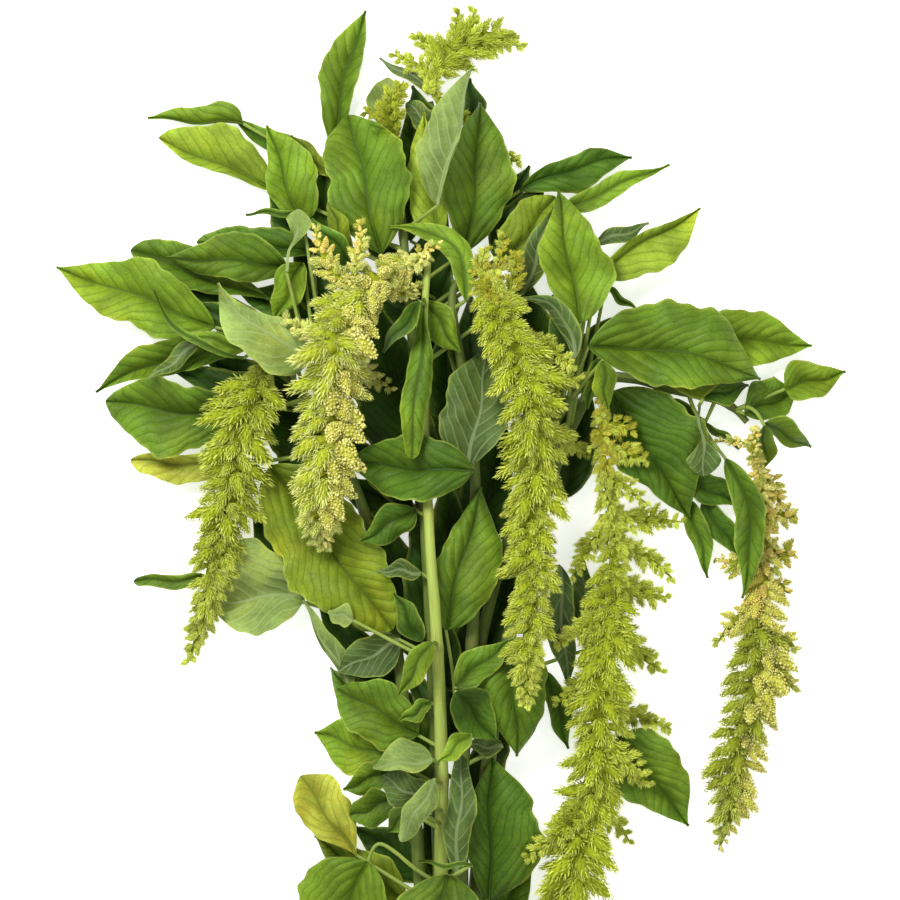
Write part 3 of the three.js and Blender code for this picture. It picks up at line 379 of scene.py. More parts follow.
# The bunch from the lowest layer up: stem, share of the pile's height, leaves, tassel that follows them.
# A leaf: name, tint, base, tip, half-widths to its left and right, then its bow, the place of its widest
# part, its bluntness and the pixels that its stalk passes, where they aren't the usual ones.
LAYERS = [
    (6, 0.1, [
        ("under tassel 1", "deep_shade", (345, 480), (262, 382), 46, 30),
        ("under left fan", "deep_shade", (312, 408), (196, 352), 20, 22),
        ("under heart right", "deep_shade", (472, 565), (507, 422), 30, 26),
        ("under middle left", "deep_shade", (430, 665), (370, 502), 32, 26),
        ("under middle right", "deep_shade", (450, 748), (490, 588), 26, 26),
        ("under low left", "dark", (432, 805), (366, 655), 30, 30),
        ("under tassel 3", "deep_shade", (548, 432), (520, 262), 32, 28),
        ("under upper left", "dark", (340, 335), (234, 288), 18, 24),
        ("under crown", "deep_shade", (430, 350), (430, 222), 36, 30),
        ("under crown left", "dark", (410, 240), (410, 98), 18, 18),
        ("under left tassel top", "deep_shade", (280, 398), (168, 370), 14, 18),
        ("under twisted", "deep_shade", (335, 330), (292, 222), 20, 20),
        ("under tassel 2", "deep_shade", (425, 470), (376, 298), 56, 30),
        ("under fold", "deep_shade", (452, 480), (447, 316), 26, 24),
        ("under tassel 3 top", "deep_shade", (478, 430), (470, 290), 22, 26),
        ("under window", "deep_shade", (562, 500), (590, 384), 24, 24),
        ("under stem left", "deep_shade", (436, 642), (416, 498), 24, 22),
        ("under stem right", "deep_shade", (452, 610), (445, 468), 20, 20),
        ("under tassel 3 end", "deep_shade", (486, 668), (514, 540), 26, 20),
        ("under left edge", "deep_shade", (398, 698), (316, 602), 24, 22),
        ("under low edge", "dark", (385, 740), (330, 668), 22, 20),
        ("under low middle", "deep_shade", (478, 802), (500, 722), 20, 22),
        ("under foot", "deep_shade", (432, 880), (352, 828), 22, 22),
        ("under foot far left", "olive", (405, 905), (314, 838), 26, 24),
        ("under foot right", "dark", (470, 960), (534, 862), 28, 26),
        ("under left pair", "deep_shade", (262, 320), (180, 286), 12, 12),
        ("under upright left", "deep_shade", (302, 244), (268, 188), 16, 16),
        ("under crown top", "deep_shade", (436, 142), (412, 84), 13, 14),
        ("under crown tip", "deep_shade", (474, 132), (470, 76), 12, 12),
        ("under top right base", "deep_shade", (498, 214), (530, 164), 12, 12),
        ("under stem gap", "deep_shade", (438, 712), (402, 672), 11, 12),
        ("under dark heart", "deep_shade", (422, 522), (338, 476), 26, 18),
        ("under stem upper", "deep_shade", (450, 690), (446, 606), 10, 10),
        ("under stem low", "deep_shade", (444, 890), (424, 806), 13, 10),
        ("under big right base", "deep_shade", (560, 372), (632, 312), 15, 18),
        ("under tassel 2 arm", "deep_shade", (424, 334), (378, 292), 15, 15),
        ("under crown far left", "dark", (330, 250), (320, 160), 16, 14),
        ("under left leaves", "deep_shade", (300, 350), (188, 302), 20, 20),
        ("under top right", "deep_shade", (498, 262), (545, 182), 26, 22),
        ("under heart", "deep_shade", (574, 376), (553, 294), 14, 14),
        ("under crown low", "deep_shade", (424, 292), (362, 236), 17, 19),
        ("by tassel 2", "deep_shade", (412, 508), (332, 424), 15, 17),
        ("under arc", "deep_shade", (640, 402), (706, 420), 15, 14),
        ("rounded back", "pale", (388, 132), (388, 75), 22, 14, {"peak": 0.55, "blunt": 0.3}),
        ("square back", "grey", (442, 130), (406, 102), 12, 12, {"blunt": 0.5}),
        ("narrow blue", "grey", (438, 93), (379, 56), 7, 6),
        ("tall back", "mid", (332, 150), (365, 8), 26, 13, {"bow": 3, "peak": 0.54}),
        ("bent leaf inner", "dark", (314, 168), (230, 116), 9, 14),
        ("bent leaf outer", "bright", (242, 122), (146, 116), 2, 21, {"peak": 0.28}),
        ("top right dark", "dark", (520, 190), (633, 156), 15, 22, {"bow": 7, "peak": 0.5}),
    ], 6),
    (7, 0.2, [], 7),
    (7, 0.3, [
        ("strip behind", "olive", (330, 175), (290, 134), 9, 9),
        ("bright upper left", "lime", (282, 192), (157, 136), 10, 36, {"peak": 0.55, "blunt": 0.2}),
        ("upright left", "bright", (302, 224), (266, 124), 18, 34),
        ("yellow strip", "lime", (440, 242), (424, 112), 28, 14),
        ("tall middle", "mid", (464, 252), (480, 101), 34, 37, {"bow": -4, "peak": 0.5}),
        ("folded heart", "mid", (381, 254), (348, 114), 41, 48, {"peak": 0.52, "blunt": 0.4}),
        ("pale half", "pale", (438, 206), (471, 67), 33, 3, {"peak": 0.45}),
        ("light narrow right", "bright", (566, 208), (671, 163), 12, 11, {"peak": 0.3}),
        ("yellow behind right", "olive", (505, 262), (556, 196), 26, 22, {"blunt": 0.5}),
        ("dark behind right", "grey", (524, 292), (554, 207), 14, 12),
    ], None),
    (5, 0.35, [
        ("between tassels upper", "grey", (588, 650), (582, 548), 14, 12),
        ("pale narrow right", "grey", (596, 243), (650, 222), 8, 8),
        ("lime right", "lime", (598, 272), (702, 207), 9, 33, {"peak": 0.44}),
        ("far right", "bright", (690, 338), (814, 345), 33, 25),
        ("short strip right", "mid", (606, 286), (638, 310), 5, 4),
        ("strip by arc", "mid", (706, 423), (741, 449), 5, 4),
        ("dark by arc", "dark", (704, 396), (750, 385), 13, 12),
        ("torn leaf body", "mid", (745, 414), (796, 392), 26, 19, {"peak": 0.5, "blunt": 0.6}),
        ("torn leaf end", "bright", (786, 389), (848, 371), 25, 18, {"peak": 0.3}),
        ("small tail right", "mid", (764, 424), (813, 447), 15, 9, {"via": [(752, 408)]}),
        ("small hanging right", "mid", (764, 426), (763, 473), 13, 7, {"via": [(752, 408)]}),
        ("dark low right", "dark", (704, 500), (742, 560), 13, 14, {"via": [(668, 392), (690, 446)]}),
        ("dark under twist", "dark", (686, 476), (740, 506), 17, 15, {"via": [(662, 392), (676, 440)]}),
        ("hanging middle right", "mid", (690, 500), (709, 579), 13, 10, {"via": [(656, 392), (670, 446)]}),
    ], 5),
    (5, 0.6, [
        ("front right", "mid", (726, 459), (743, 599), 17, 16, {"bow": 16, "via": [(690, 398), (704, 428)]}),
        ("low right", "mid", (618, 738), (690, 828), 41, 32, {"peak": 0.34, "via": [(555, 600), (600, 660)]}),
    ], None),
    (4, 0.5, [
        ("between tassels", "grey", (560, 566), (568, 690), 14, 16),
        ("between tassels dark", "dark", (546, 672), (569, 750), 14, 12),
        ("bright right", "bright", (580, 324), (558, 189), 27, 40, {"peak": 0.42}),
        ("big dark right", "dark", (610, 392), (690, 518), 59, 32, {"via": [(584, 372)]}),
        ("under big right", "olive", (672, 384), (728, 379), 6, 14, {"via": [(600, 374)]}),
        ("big right", "mid", (588, 347), (761, 379), 53, 35, {"bow": 10, "peak": 0.48}),
        ("curled olive", "grey", (574, 358), (519, 298), 10, 11, {"bow": -20}),
    ], None),
    (5, 0.65, [
        ("twisted grey", "grey", (699, 406), (704, 476), 22, 19, {"peak": 0.85, "blunt": 0.9}),
    ], None),
    (1, 0.45, [
        ("behind left", "mid", (270, 299), (129, 249), 16, 25, {"peak": 0.6, "blunt": 0.4}),
        ("dark top edge", "dark", (312, 252), (196, 242), 10, 23, {"blunt": 0.3}),
        ("big left", "bright", (214, 327), (54, 266), 33, 35, {"peak": 0.45, "via": [(280, 345)]}),
        ("long tail left", "mid", (245, 349), (94, 392), 14, 25, {"bow": -11, "via": [(280, 345)]}),
        ("yellow low left", "yellow", (234, 466), (129, 460), 20, 10, {"blunt": 0.5}),
        ("lobed left", "mid", (240, 419), (104, 401), 44, 32, {"peak": 0.5, "blunt": 0.2}),
        ("folded small left", "grey", (201, 341), (149, 378), 8, 9, {"via": [(280, 345)]}),
        ("bright small left", "bright", (246, 349), (177, 333), 10, 7, {"via": [(280, 345)]}),
        ("edge on left", "mid", (245, 358), (154, 290), 4, 4, {"bow": 17, "via": [(280, 345)]}),
        ("veined upper left", "mid", (287, 267), (166, 257), 19, 29),
        ("spike upper left", "mid", (302, 212), (245, 214), 3, 5),
        ("under olive left", "deep_shade", (288, 572), (250, 510), 14, 16),
        ("pale low left", "pale", (306, 594), (205, 604), 38, 56, {"peak": 0.5}),
        ("spike low left", "mid", (209, 578), (132, 582), 9, 7, {"blunt": 0.5}),
        ("left edge strip", "pale", (352, 694), (303, 600), 4, 13),
        ("olive under tassel 2", "olive", (270, 466), (392, 630), 45, 52, {"blunt": 0.35}),
        ("twisted lower", "bright", (303, 263), (274, 320), 14, 21),
        ("twisted upper", "pale", (287, 272), (299, 209), 11, 16, {"peak": 0.85, "blunt": 0.8}),
        ("olive top", "olive", (349, 260), (328, 203), 13, 12),
        ("dark by tassel 2", "dark", (354, 266), (312, 219), 12, 11),
    ], 1),
    (1, 0.65, [
        ("pale underside left", "pale", (313, 354), (218, 283), 34, 19, {"bow": 13, "peak": 0.32}),
    ], None),
    (3, 0.7, [
        ("heart right", "mid", (446, 629), (481, 487), 26, 38, {"via": [(457, 712), (454, 680)]}),
        ("dark by underside", "dark", (472, 463), (429, 413), 13, 14),
        ("grey underside", "grey", (468, 464), (489, 345), 40, 28),
        ("right lobe", "bright", (424, 301), (460, 353), 15, 17),
        ("arching", "bright", (466, 301), (390, 227), 13, 13, {"bow": -29}),
    ], None),
    (2, 0.7, [], None),
    (3, 0.7, [
        ("low right dark", "dark", (489, 900), (492, 756), 25, 55, {"peak": 0.46}),
        ("pointed down", "mid", (514, 638), (517, 757), 34, 34),
        ("grey short", "grey", (503, 746), (466, 745), 10, 10),
        ("dull right", "mid", (456, 686), (508, 640), 18, 17),
        ("dark right of stem", "dark", (456, 690), (496, 740), 23, 22),
        ("along stem", "grey", (457, 872), (461, 754), 14, 15, {"blunt": 0.4}),
    ], 4),
    (4, 0.8, [
        ("small dark right", "dark", (598, 359), (587, 409), 9, 9),
        ("small bright right", "bright", (602, 361), (607, 410), 11, 12),
    ], None),
    (2, 0.9, [
        ("grey low left", "grey", (399, 639), (337, 673), 25, 21),
        ("pale by stalk", "pale", (353, 620), (328, 611), 12, 12),
        ("grey bar", "grey", (421, 573), (378, 570), 9, 10),
        ("dark behind stem", "dark", (416, 510), (361, 541), 19, 18),
        ("dark left of stem", "dark", (422, 641), (394, 593), 13, 12),
        ("light low left", "bright", (385, 755), (314, 733), 27, 26),
        ("round low left", "mid", (418, 735), (337, 689), 34, 30, {"blunt": 0.3}),
        ("yellow olive", "yellow", (356, 856), (300, 777), 25, 30, {"peak": 0.6, "blunt": 0.5}),
        ("crumpled left", "mid", (390, 771), (343, 790), 16, 16),
        ("crumpled low", "mid", (393, 801), (349, 816), 19, 17, {"blunt": 0.4}),
        ("crumpled round", "grey", (429, 803), (383, 775), 20, 20, {"blunt": 0.4}),
        ("crumpled end", "mid", (413, 807), (387, 832), 13, 13),
        ("crumpled top", "pale", (433, 759), (373, 767), 9, 25),
        ("foot left", "bright", (368, 862), (312, 968), 45, 54,
         {"via": [(411, 866), (386, 845), (374, 848)]}),
        ("foot middle", "mid", (447, 873), (432, 975), 45, 43),
        ("small by stem", "mid", (431, 702), (400, 720), 9, 10),
        ("bright by stem", "bright", (432, 640), (399, 694), 14, 13),
        ("bright right of stem", "bright", (471, 733), (438, 760), 11, 11),
        ("bright underside", "pale", (434, 778), (401, 840), 14, 13, {"blunt": 0.3}),
        ("cross strip", "mid", (472, 862), (418, 861), 3, 3),
        ("dark heart", "dark", (472, 471), (342, 462), 33, 33),
        ("hanging fold", "mid", (424, 299), (412, 459), 14, 14, {"peak": 0.6, "blunt": 0.4}),
        ("dark left of fold", "dark", (420, 303), (383, 353), 9, 10),
    ], 3),
    (2, 1, [], 2),
]


# Laying the bunch: the same rules and the same places as the solids

def place(spots):
    """Places on the table of pixels of the photograph."""
    spots = np.asarray(spots, float)
    x = (spots[..., 0] - MIDDLE_COLUMN) * MM_PER_PIXEL
    y = LOWEST_ROW_Y + (LOWEST_ROW - spots[..., 1]) * MM_PER_PIXEL
    return np.stack([x, y], axis=-1)


def pile_height(x, y):
    """Height of the bunch's rounded outline over the table."""
    across = x / PILE_HALF_WIDTH
    along = (y - PILE_MIDDLE_Y) / PILE_HALF_LENGTH
    return PILE_HEIGHT * np.maximum(0, 1 - across ** 2 - along ** 2)


def lerp(a, b, share):
    """Value a share of the way from a to b."""
    return a + (b - a) * share


class Pile:
    """How high the bunch has grown, one map for each node."""

    def __init__(self, cell, gap, cells):
        self.cell = cell
        self.gap = gap
        self.cells = cells
        self.maps = {}

    def index(self, x, y):
        across = np.floor((x - PILE_LOW[0]) / self.cell).astype(int)
        along = np.floor((y - PILE_LOW[1]) / self.cell).astype(int)
        return along, across

    def floor(self, x, y, skip=None):
        """Lowest height at which something new may lie."""
        cells = self.index(x, y)
        highest = np.zeros(len(x))
        for name, grid in self.maps.items():
            if name != skip:
                highest = np.maximum(highest, grid[cells])
        return highest

    def add(self, name, x, y, top):
        """The top of a new piece, spread to the cells round each point."""
        grid = self.maps.setdefault(name, np.zeros(self.cells))
        along, across = self.index(x, y)
        for i in (-1, 0, 1):
            for j in (-1, 0, 1):
                np.maximum.at(grid, (along + i, across + j), top + self.gap)


pile = Pile(CELL, LAYER_GAP, PILE_CELLS)
fine_pile = Pile(FINE_CELL, FINE_GAP, tuple(int(count * CELL / FINE_CELL) for count in PILE_CELLS))


def seeded_draw(seed):
    """Seeded draws in 0 to 1."""
    state = seed
    while True:
        state = (DRAW_FACTOR * state + DRAW_STEP) % DRAW_RANGE
        yield state / DRAW_RANGE


def spline(points, spots):
    """Points of a Catmull-Rom curve at shares of its run from first to last point."""
    points = np.asarray(points, float)
    last = len(points) - 1
    padded = np.vstack([2 * points[0] - points[1], points, 2 * points[-1] - points[-2]])
    place_along = np.clip(np.asarray(spots, float), 0, 1) * last
    index = np.minimum(np.floor(place_along).astype(int), last - 1)
    t = (place_along - index)[:, None]
    p0, p1, p2, p3 = (padded[index + shift] for shift in range(4))
    m1 = CURVE_TENSION * (p2 - p0)
    m2 = CURVE_TENSION * (p3 - p1)
    cubic = 2 * p1 - 2 * p2 + m1 + m2
    square = -3 * p1 + 3 * p2 - 2 * m1 - m2
    return ((cubic * t + square) * t + m1) * t + p1


def run_length(points):
    """Length of a line of points."""
    return np.linalg.norm(np.diff(points, axis=0), axis=1).sum()


def left_directions(points):
    """Level directions to the left of a line of points."""
    padded = np.vstack([points[:1], points, points[-1:]])
    step = padded[2:, :2] - padded[:-2, :2]
    left = np.stack([-step[:, 1], step[:, 0]], axis=1)
    return left / np.linalg.norm(left, axis=1, keepdims=True)


class Run:
    """Stations of a tube: middle, half-width, half-height and left-hand direction."""

    def __init__(self, centre, radius, flatness=1):
        self.centre = np.array(centre, float)
        self.radius = np.array(radius, float)
        self.rise = flatness * self.radius
        self.left = left_directions(self.centre)


def stiffen(lifts, neighbours):
    """A raised corner carries its neighbours with it."""
    for _ in range(STIFFENING_PASSES):
        means = np.array([lifts[around].mean() for around in neighbours])
        lifts = np.maximum(lifts, STIFFNESS * means)
    return lifts


def run_samples(run):
    """Points of a tube no further apart than a cell: segment, share, place across, depth, inner edge."""
    samples = []
    for index in range(len(run.centre) - 1):
        steps = max(1, math.ceil(np.linalg.norm(run.centre[index + 1] - run.centre[index]) / CELL))
        for step in range(steps + 1):
            share = step / steps
            radius = lerp(run.radius[index], run.radius[index + 1], share)
            rise = lerp(run.rise[index], run.rise[index + 1], share)
            offsets = max(1, math.ceil(radius / CELL))
            for offset in range(-offsets, offsets + 1):
                level = offset / offsets
                depth = rise * math.sqrt(1 - level ** 2)
                samples.append((index, share, radius * level, depth, radius - CELL))
    return np.array(samples)


def lay_run(name, run, held, skip=None):
    """Raises a tube's stations clear of the pile, the held ones excepted."""
    samples = run_samples(run)
    index = samples[:, 0].astype(int)
    share, across, depth, inner = samples[:, 1:].T

    def at():
        point = lerp(run.centre[index], run.centre[index + 1], share[:, None])
        point[:, :2] += across[:, None] * lerp(run.left[index], run.left[index + 1], share[:, None])
        return point

    point = at()
    need = pile.floor(point[:, 0], point[:, 1], skip) - (point[:, 2] - depth)
    square = (1 - share) ** 2 + share ** 2
    lifts = np.zeros(len(run.centre))
    np.maximum.at(lifts, index, need * (1 - share) / square)
    np.maximum.at(lifts, index + 1, need * share / square)
    last = len(lifts) - 1
    lifts = stiffen(lifts, [[max(0, i - 1), min(last, i + 1)] for i in range(last + 1)])
    run.centre[:, 2] += np.where(held, 0, lifts)
    point = at()
    kept = np.abs(across) <= np.maximum(0, inner)
    pile.add(name, point[kept, 0], point[kept, 1], (point[:, 2] + depth)[kept])


def slot_middle(slot):
    """Middle of a stem in the bundle, across the table and above it."""
    lowest = BAND_THICKNESS + BAND_CLEARANCE + STEM_CUT_RADIUS
    return slot[0] * SLOT_SPACING, lowest + slot[1] * SLOT_SPACING * math.sin(math.pi / 3)


def lay_stem(number, level):
    """A stem from its cut end through the band to its tassel."""
    slot, path = STEMS[number]
    x, z = slot_middle(slot)
    points = [(x, y, z) for y in (STEM_CUT_Y, 0, BUNDLE_TOP_Y)]
    for spot in place(path):
        points.append((*spot, max(z, level * pile_height(*spot))))
    shares = np.linspace(0, 1, STEM_STATIONS + 1)
    run = Run(spline(points, shares), lerp(STEM_CUT_RADIUS, STEM_TOP_RADIUS, shares))
    lay_run(f"leafy_stem_{number}", run, run.centre[:, 1] <= BUNDLE_TOP_Y)
    return run


def nearest_point(centre, target):
    """Point of a middle line nearest to a place on the table, and its distance."""
    start = centre[:-1]
    step = np.diff(centre, axis=0)
    offset = target[:2] - start[:, :2]
    share = (offset * step[:, :2]).sum(axis=1) / (step[:, :2] ** 2).sum(axis=1)
    points = start + step * np.clip(share, 0, 1)[:, None]
    distance = np.linalg.norm(points[:, :2] - target[:2], axis=1)
    best = distance.argmin()
    return points[best], distance[best]


class Blade:
    """Shape of one leaf blade, from its base to its tip and from its right edge to its left."""

    def __init__(self, leaf, level):
        self.name, self.tint, base, tip, left, right = leaf[:6]
        options = leaf[6] if len(leaf) > 6 else {}
        self.bow = options.get("bow", 0) * MM_PER_PIXEL
        self.peak = options.get("peak", USUAL_PEAK)
        self.blunt = options.get("blunt", 0)
        self.via = options.get("via", [])
        self.base = place(base)
        self.chord = place(tip) - self.base
        self.length = np.linalg.norm(self.chord)
        self.leftward = np.array([-self.chord[1], self.chord[0]]) / self.length
        self.halves = (right * MM_PER_PIXEL, left * MM_PER_PIXEL)
        self.whole = max(self.halves)
        self.base_height = level * pile_height(*self.base)
        self.tip_height = TIP_SHARE * level * pile_height(*(self.base + self.chord))
        self.last = max(FEWEST_BLADE_ROWS, math.floor(self.length / BLADE_ROW_SPACING + 0.5))

    def rib(self, along):
        """Place of the midrib on the table."""
        along = np.asarray(along)[..., None]
        side = self.bow * 4 * along * (1 - along)
        return self.base + self.chord * along + self.leftward * side

    def share(self, along):
        """Share of the full width along the midrib."""
        sine = np.sin(np.pi * along ** (math.log(0.5) / math.log(self.peak)))
        sharpness = TIP_SHARPNESS * np.maximum(0, along - self.peak) / (1 - self.peak)
        pointed = np.maximum(0, sine) ** (BLADE_ROUNDNESS + sharpness)
        full = np.where(along < self.peak, pointed, 1)
        return lerp(pointed, full, self.blunt)

    def half_width(self, along, across):
        """Width from the midrib to the margin, on the side of across."""
        half = np.where(across < 0, self.halves[0], self.halves[1])
        return np.maximum(BLADE_END_HALF_WIDTH, half * self.share(along))

    def points(self, along, across):
        """The blade's surface before it is laid."""
        slope = self.rib(along + SLOPE_STEP) - self.rib(along - SLOPE_STEP)
        side = np.stack([-slope[..., 1], slope[..., 0]], axis=-1)
        side /= np.linalg.norm(side, axis=-1, keepdims=True)
        half = np.where(across < 0, self.halves[0], self.halves[1])
        fold = np.minimum(HIGHEST_FOLD, FOLD_SHARE * np.sqrt(self.whole ** 2 - half ** 2))
        fold = fold + BLADE_CUP * half
        ripple = BLADE_RIPPLE * np.cos(np.pi * self.last * along)
        reach = np.abs(across)
        arch = BLADE_ARCH * self.length * 4 * along * (1 - along)
        height = lerp(self.base_height, self.tip_height, along) + arch
        height = height + self.share(along) * (fold * reach ** 1.5 + ripple * reach ** 2)
        level = self.rib(along) + side * (self.half_width(along, across) * across)[..., None]
        return np.concatenate([level, height[..., None]], axis=-1)


def triangle_weights(corners):
    """Corner weights of points of a triangle no further apart than a cell."""
    edges = np.linalg.norm(corners - np.roll(corners, 1, axis=0), axis=1)
    steps = max(1, math.ceil(edges.max() / CELL))
    return np.array([
        (i, j, steps - i - j) for i in range(steps + 1) for j in range(steps + 1 - i)
    ]) / steps


def lay_blade(name, blade):
    """Lays a blade on the pile and returns its corners and how far each was raised."""
    rows = np.arange(blade.last + 1) / blade.last
    along, across = np.meshgrid(rows, [-1.0, 0.0, 1.0], indexing="ij")
    corners = blade.points(along, across).reshape(-1, 3)
    faces = []
    for row in range(blade.last):
        for column in (0, 1):
            first = 3 * row + column
            faces += [(first, first + 3, first + 4), (first, first + 4, first + 1)]
    samples = [(face, triangle_weights(corners[list(face)])) for face in faces]
    face = np.concatenate([np.tile(face, (len(weights), 1)) for face, weights in samples])
    weights = np.concatenate([weights for _, weights in samples])

    def at():
        return (corners[face] * weights[..., None]).sum(axis=1)

    point = at()
    need = pile.floor(point[:, 0], point[:, 1]) - (point[:, 2] - BLADE_THICKNESS / 2)
    square = (weights ** 2).sum(axis=1)
    lifts = np.zeros(len(corners))
    for corner in range(3):
        np.maximum.at(lifts, face[:, corner], need * weights[:, corner] / square)
    neighbours = []
    for corner in range(len(corners)):
        around = [other for other in (corner - 3, corner + 3) if 0 <= other < len(corners)]
        around += [corner - 1] if corner % 3 > 0 else []
        around += [corner + 1] if corner % 3 < 2 else []
        neighbours.append(around)
    lifts = stiffen(lifts, neighbours)
    corners[:, 2] += lifts
    point = at()
    pile.add(name, point[:, 0], point[:, 1], point[:, 2] + BLADE_THICKNESS / 2)
    return corners.reshape(-1, 3, 3), lifts.reshape(-1, 3)


def lay_stalk(name, stem, base, via):
    """A leaf's stalk from inside the stem to the blade's base."""
    passed = [np.array(spot) for spot in place(via)] if via else []
    free = stem.centre[stem.centre[:, 1] > BUNDLE_TOP_Y][:-STALKLESS_STATIONS]
    near, distance = nearest_point(free, passed[0] if passed else base)
    root, _ = nearest_point(free, np.array([near[0], near[1] - STALK_LEAN * distance]))
    spots = [root[:2], *passed, base[:2]]
    heights = lerp(root[2], base[2], np.linspace(0, 1, len(spots)))
    points = np.column_stack([spots, heights])
    centre = spline(points, np.linspace(0, 1, STALK_ROWS + len(passed) + 1))
    run = Run(centre, np.full(len(centre), STALK_RADIUS * math.sqrt(2)))
    held = np.zeros(len(centre), bool)
    held[[0, -1]] = True
    lay_run(name, run, held, name)
    return run


def clear_tip(name, root, tip, radius):
    """Raises a cluster's tip until the whole of it clears the pile."""
    steps = math.ceil(np.linalg.norm(tip - root) / CELL)
    share = (np.arange(steps) + 1) / steps
    point = lerp(root, tip, share[:, None])
    below = radius * (1 - share)
    lift = 0
    for side in (-1, 0, 1):
        need = pile.floor(point[:, 0] + side * below, point[:, 1], name) - (point[:, 2] - below)
        lift = max(lift, (need / share).max())
    tip[2] += lift
    point = lerp(root, tip, share[:, None])
    pile.add(name, point[:, 0], point[:, 1], point[:, 2] + below)


class Branch:
    """One branch of a tassel, laid on the pile: its middle line and half-widths."""

    def __init__(self, name, table, neck, point, draw):
        self.halves = np.array([half for _, _, half in table]) * MM_PER_PIXEL
        spots = place([(column, row) for column, row, _ in table[1:]])
        resting = TASSEL_FLATNESS * CORE_SHARE * self.halves[1:]
        points = np.vstack([point, np.column_stack([spots, resting])])
        length = run_length(spline(points, np.linspace(0, 1, LENGTH_SAMPLES)))
        count = max(FEWEST_CORE_STATIONS, math.floor(length / CORE_STATION_SPACING + 0.5))
        centre = np.vstack([*neck, spline(points, np.linspace(0, 1, count + 1))])
        shares = np.maximum(0, np.arange(len(centre)) - len(neck)) / count
        radius = np.maximum(THINNEST_CORE, CORE_SHARE * self.half_at(shares))
        self.run = Run(centre, radius, TASSEL_FLATNESS)
        held = np.arange(len(centre)) == 0
        lay_run(name, self.run, held, name)
        self.centre = self.run.centre[len(neck):]
        self.left = self.run.left[len(neck):]
        self.length = length
        self.count = count
        self.lay_clusters(name, draw)

    def half_at(self, share):
        """Half-width at a share of the branch, just short of its end at most."""
        last = len(self.halves) - 1
        return np.interp(np.minimum(share * last, last - END_MARGIN), np.arange(last + 1), self.halves)

    def lay_clusters(self, name, draw):
        """The coarse flower clusters that later pieces lie on."""
        clusters = math.floor(self.length * np.pi * self.halves.mean() / CLUSTER_SPACING ** 2 + 0.5)
        for turn in range(clusters):
            share = lerp(CLUSTER_START / self.length, 1, (turn + 0.5) / clusters)
            index = min(math.floor(share * self.count), self.count - 1)
            step = self.centre[index + 1] - self.centre[index]
            root = self.centre[index] + step * (share * self.count - index)
            half = max(SMALLEST_CLUSTER, self.half_at(share))
            turned = (turn * GOLDEN_SHARE + CLUSTER_TURN["scatter"] * next(draw)) % 1
            angle = np.pi * (turned * CLUSTER_TURN["spread"] + CLUSTER_TURN["start"])
            reach = half * (CLUSTER_REACH["least"] + CLUSTER_REACH["scatter"] * next(draw))
            slant = CLUSTER_SLANT["least"] + CLUSTER_SLANT["scatter"] * next(draw)
            tip = root + step / np.linalg.norm(step) * reach * slant
            tip[:2] += self.left[index] * reach * math.cos(angle)
            tip[2] += TASSEL_FLATNESS * reach * math.sin(angle)
            clear_tip(name, root, tip, max(THINNEST_CORE, CLUSTER_SHARE * half))


def lay_tassel(number, stem):
    """A whole tassel from the end of its stem, as a list of branches."""
    name = f"tassel_{number}"
    draw = seeded_draw(number)
    ahead = stem.centre[-1] - stem.centre[-2]
    ahead[2] = 0
    ahead /= np.linalg.norm(ahead)
    start = stem.centre[-1] + ahead * TASSEL_GAP
    branches = []
    for table in TASSELS[number]:
        if not branches:
            neck, point = [start], start + ahead * TASSEL_NECK
        else:
            spot = place(table[0][:2])
            roots = [nearest_point(branch.run.centre, spot) for branch in branches]
            neck, point = [], min(roots, key=lambda root: root[1])[0]
        branches.append(Branch(name, table, neck, point, draw))
    return branches


# Fine surfaces

def srgb(red, green, blue):
    """Linear colour of 8-bit screen values."""
    screen = np.array([red, green, blue]) / 255
    return np.where(screen <= 0.04045, screen / 12.92, ((screen + 0.055) / 1.055) ** 2.4)


LEAF_TINTS = {
    # deep: darker green painted on the lowest leaves, standing in for the shade deep inside the bunch
    "deep_shade": srgb(50, 80, 20),
    "dark": srgb(78, 112, 30),
    "mid": srgb(96, 128, 34),
    "bright": srgb(116, 148, 38),
    "lime": srgb(146, 172, 52),
    "yellow": srgb(172, 178, 64),
    "olive": srgb(118, 138, 34),
    "pale": srgb(132, 156, 80),
    # grey: the pale underside darkened, painted shade for undersides that lie in shadow
    "grey": srgb(82, 106, 50),
}
UNDERSIDES = {"pale", "grey"}
UNDERSIDE_SHARE = 0.5
MARGIN_TINT = srgb(170, 185, 80)
STEM_TINT = srgb(164, 180, 84)
SHADED_STEM_TINT = srgb(96, 114, 46)
NODE_TINT = srgb(120, 116, 58)
STALK_TINT = srgb(140, 160, 70)
GOLD_TINT = srgb(214, 190, 62)
FLORET_SHADE = srgb(184, 184, 72)
FLORET_LIGHT = srgb(240, 234, 150)
FLORET_GOLD = srgb(226, 198, 104)
RUBBER_TINT = srgb(201, 179, 122)
# Painted shade and painted highlight of each tassel's bracts: the first colour is shade painted at each
# bract's foot and on the mound bodies, the second a highlight painted at its point
BRACT_SHADE_AND_HIGHLIGHT = {
    1: (srgb(146, 158, 34), srgb(220, 228, 116)),
    2: (srgb(164, 174, 44), srgb(240, 242, 156)),
    3: (srgb(154, 166, 36), srgb(226, 232, 116)),
    4: (srgb(152, 164, 36), srgb(230, 238, 112)),
    5: (srgb(140, 150, 42), srgb(214, 220, 116)),
    6: (srgb(146, 162, 40), srgb(222, 230, 100)),
    7: (srgb(134, 146, 34), srgb(204, 210, 78)),
}


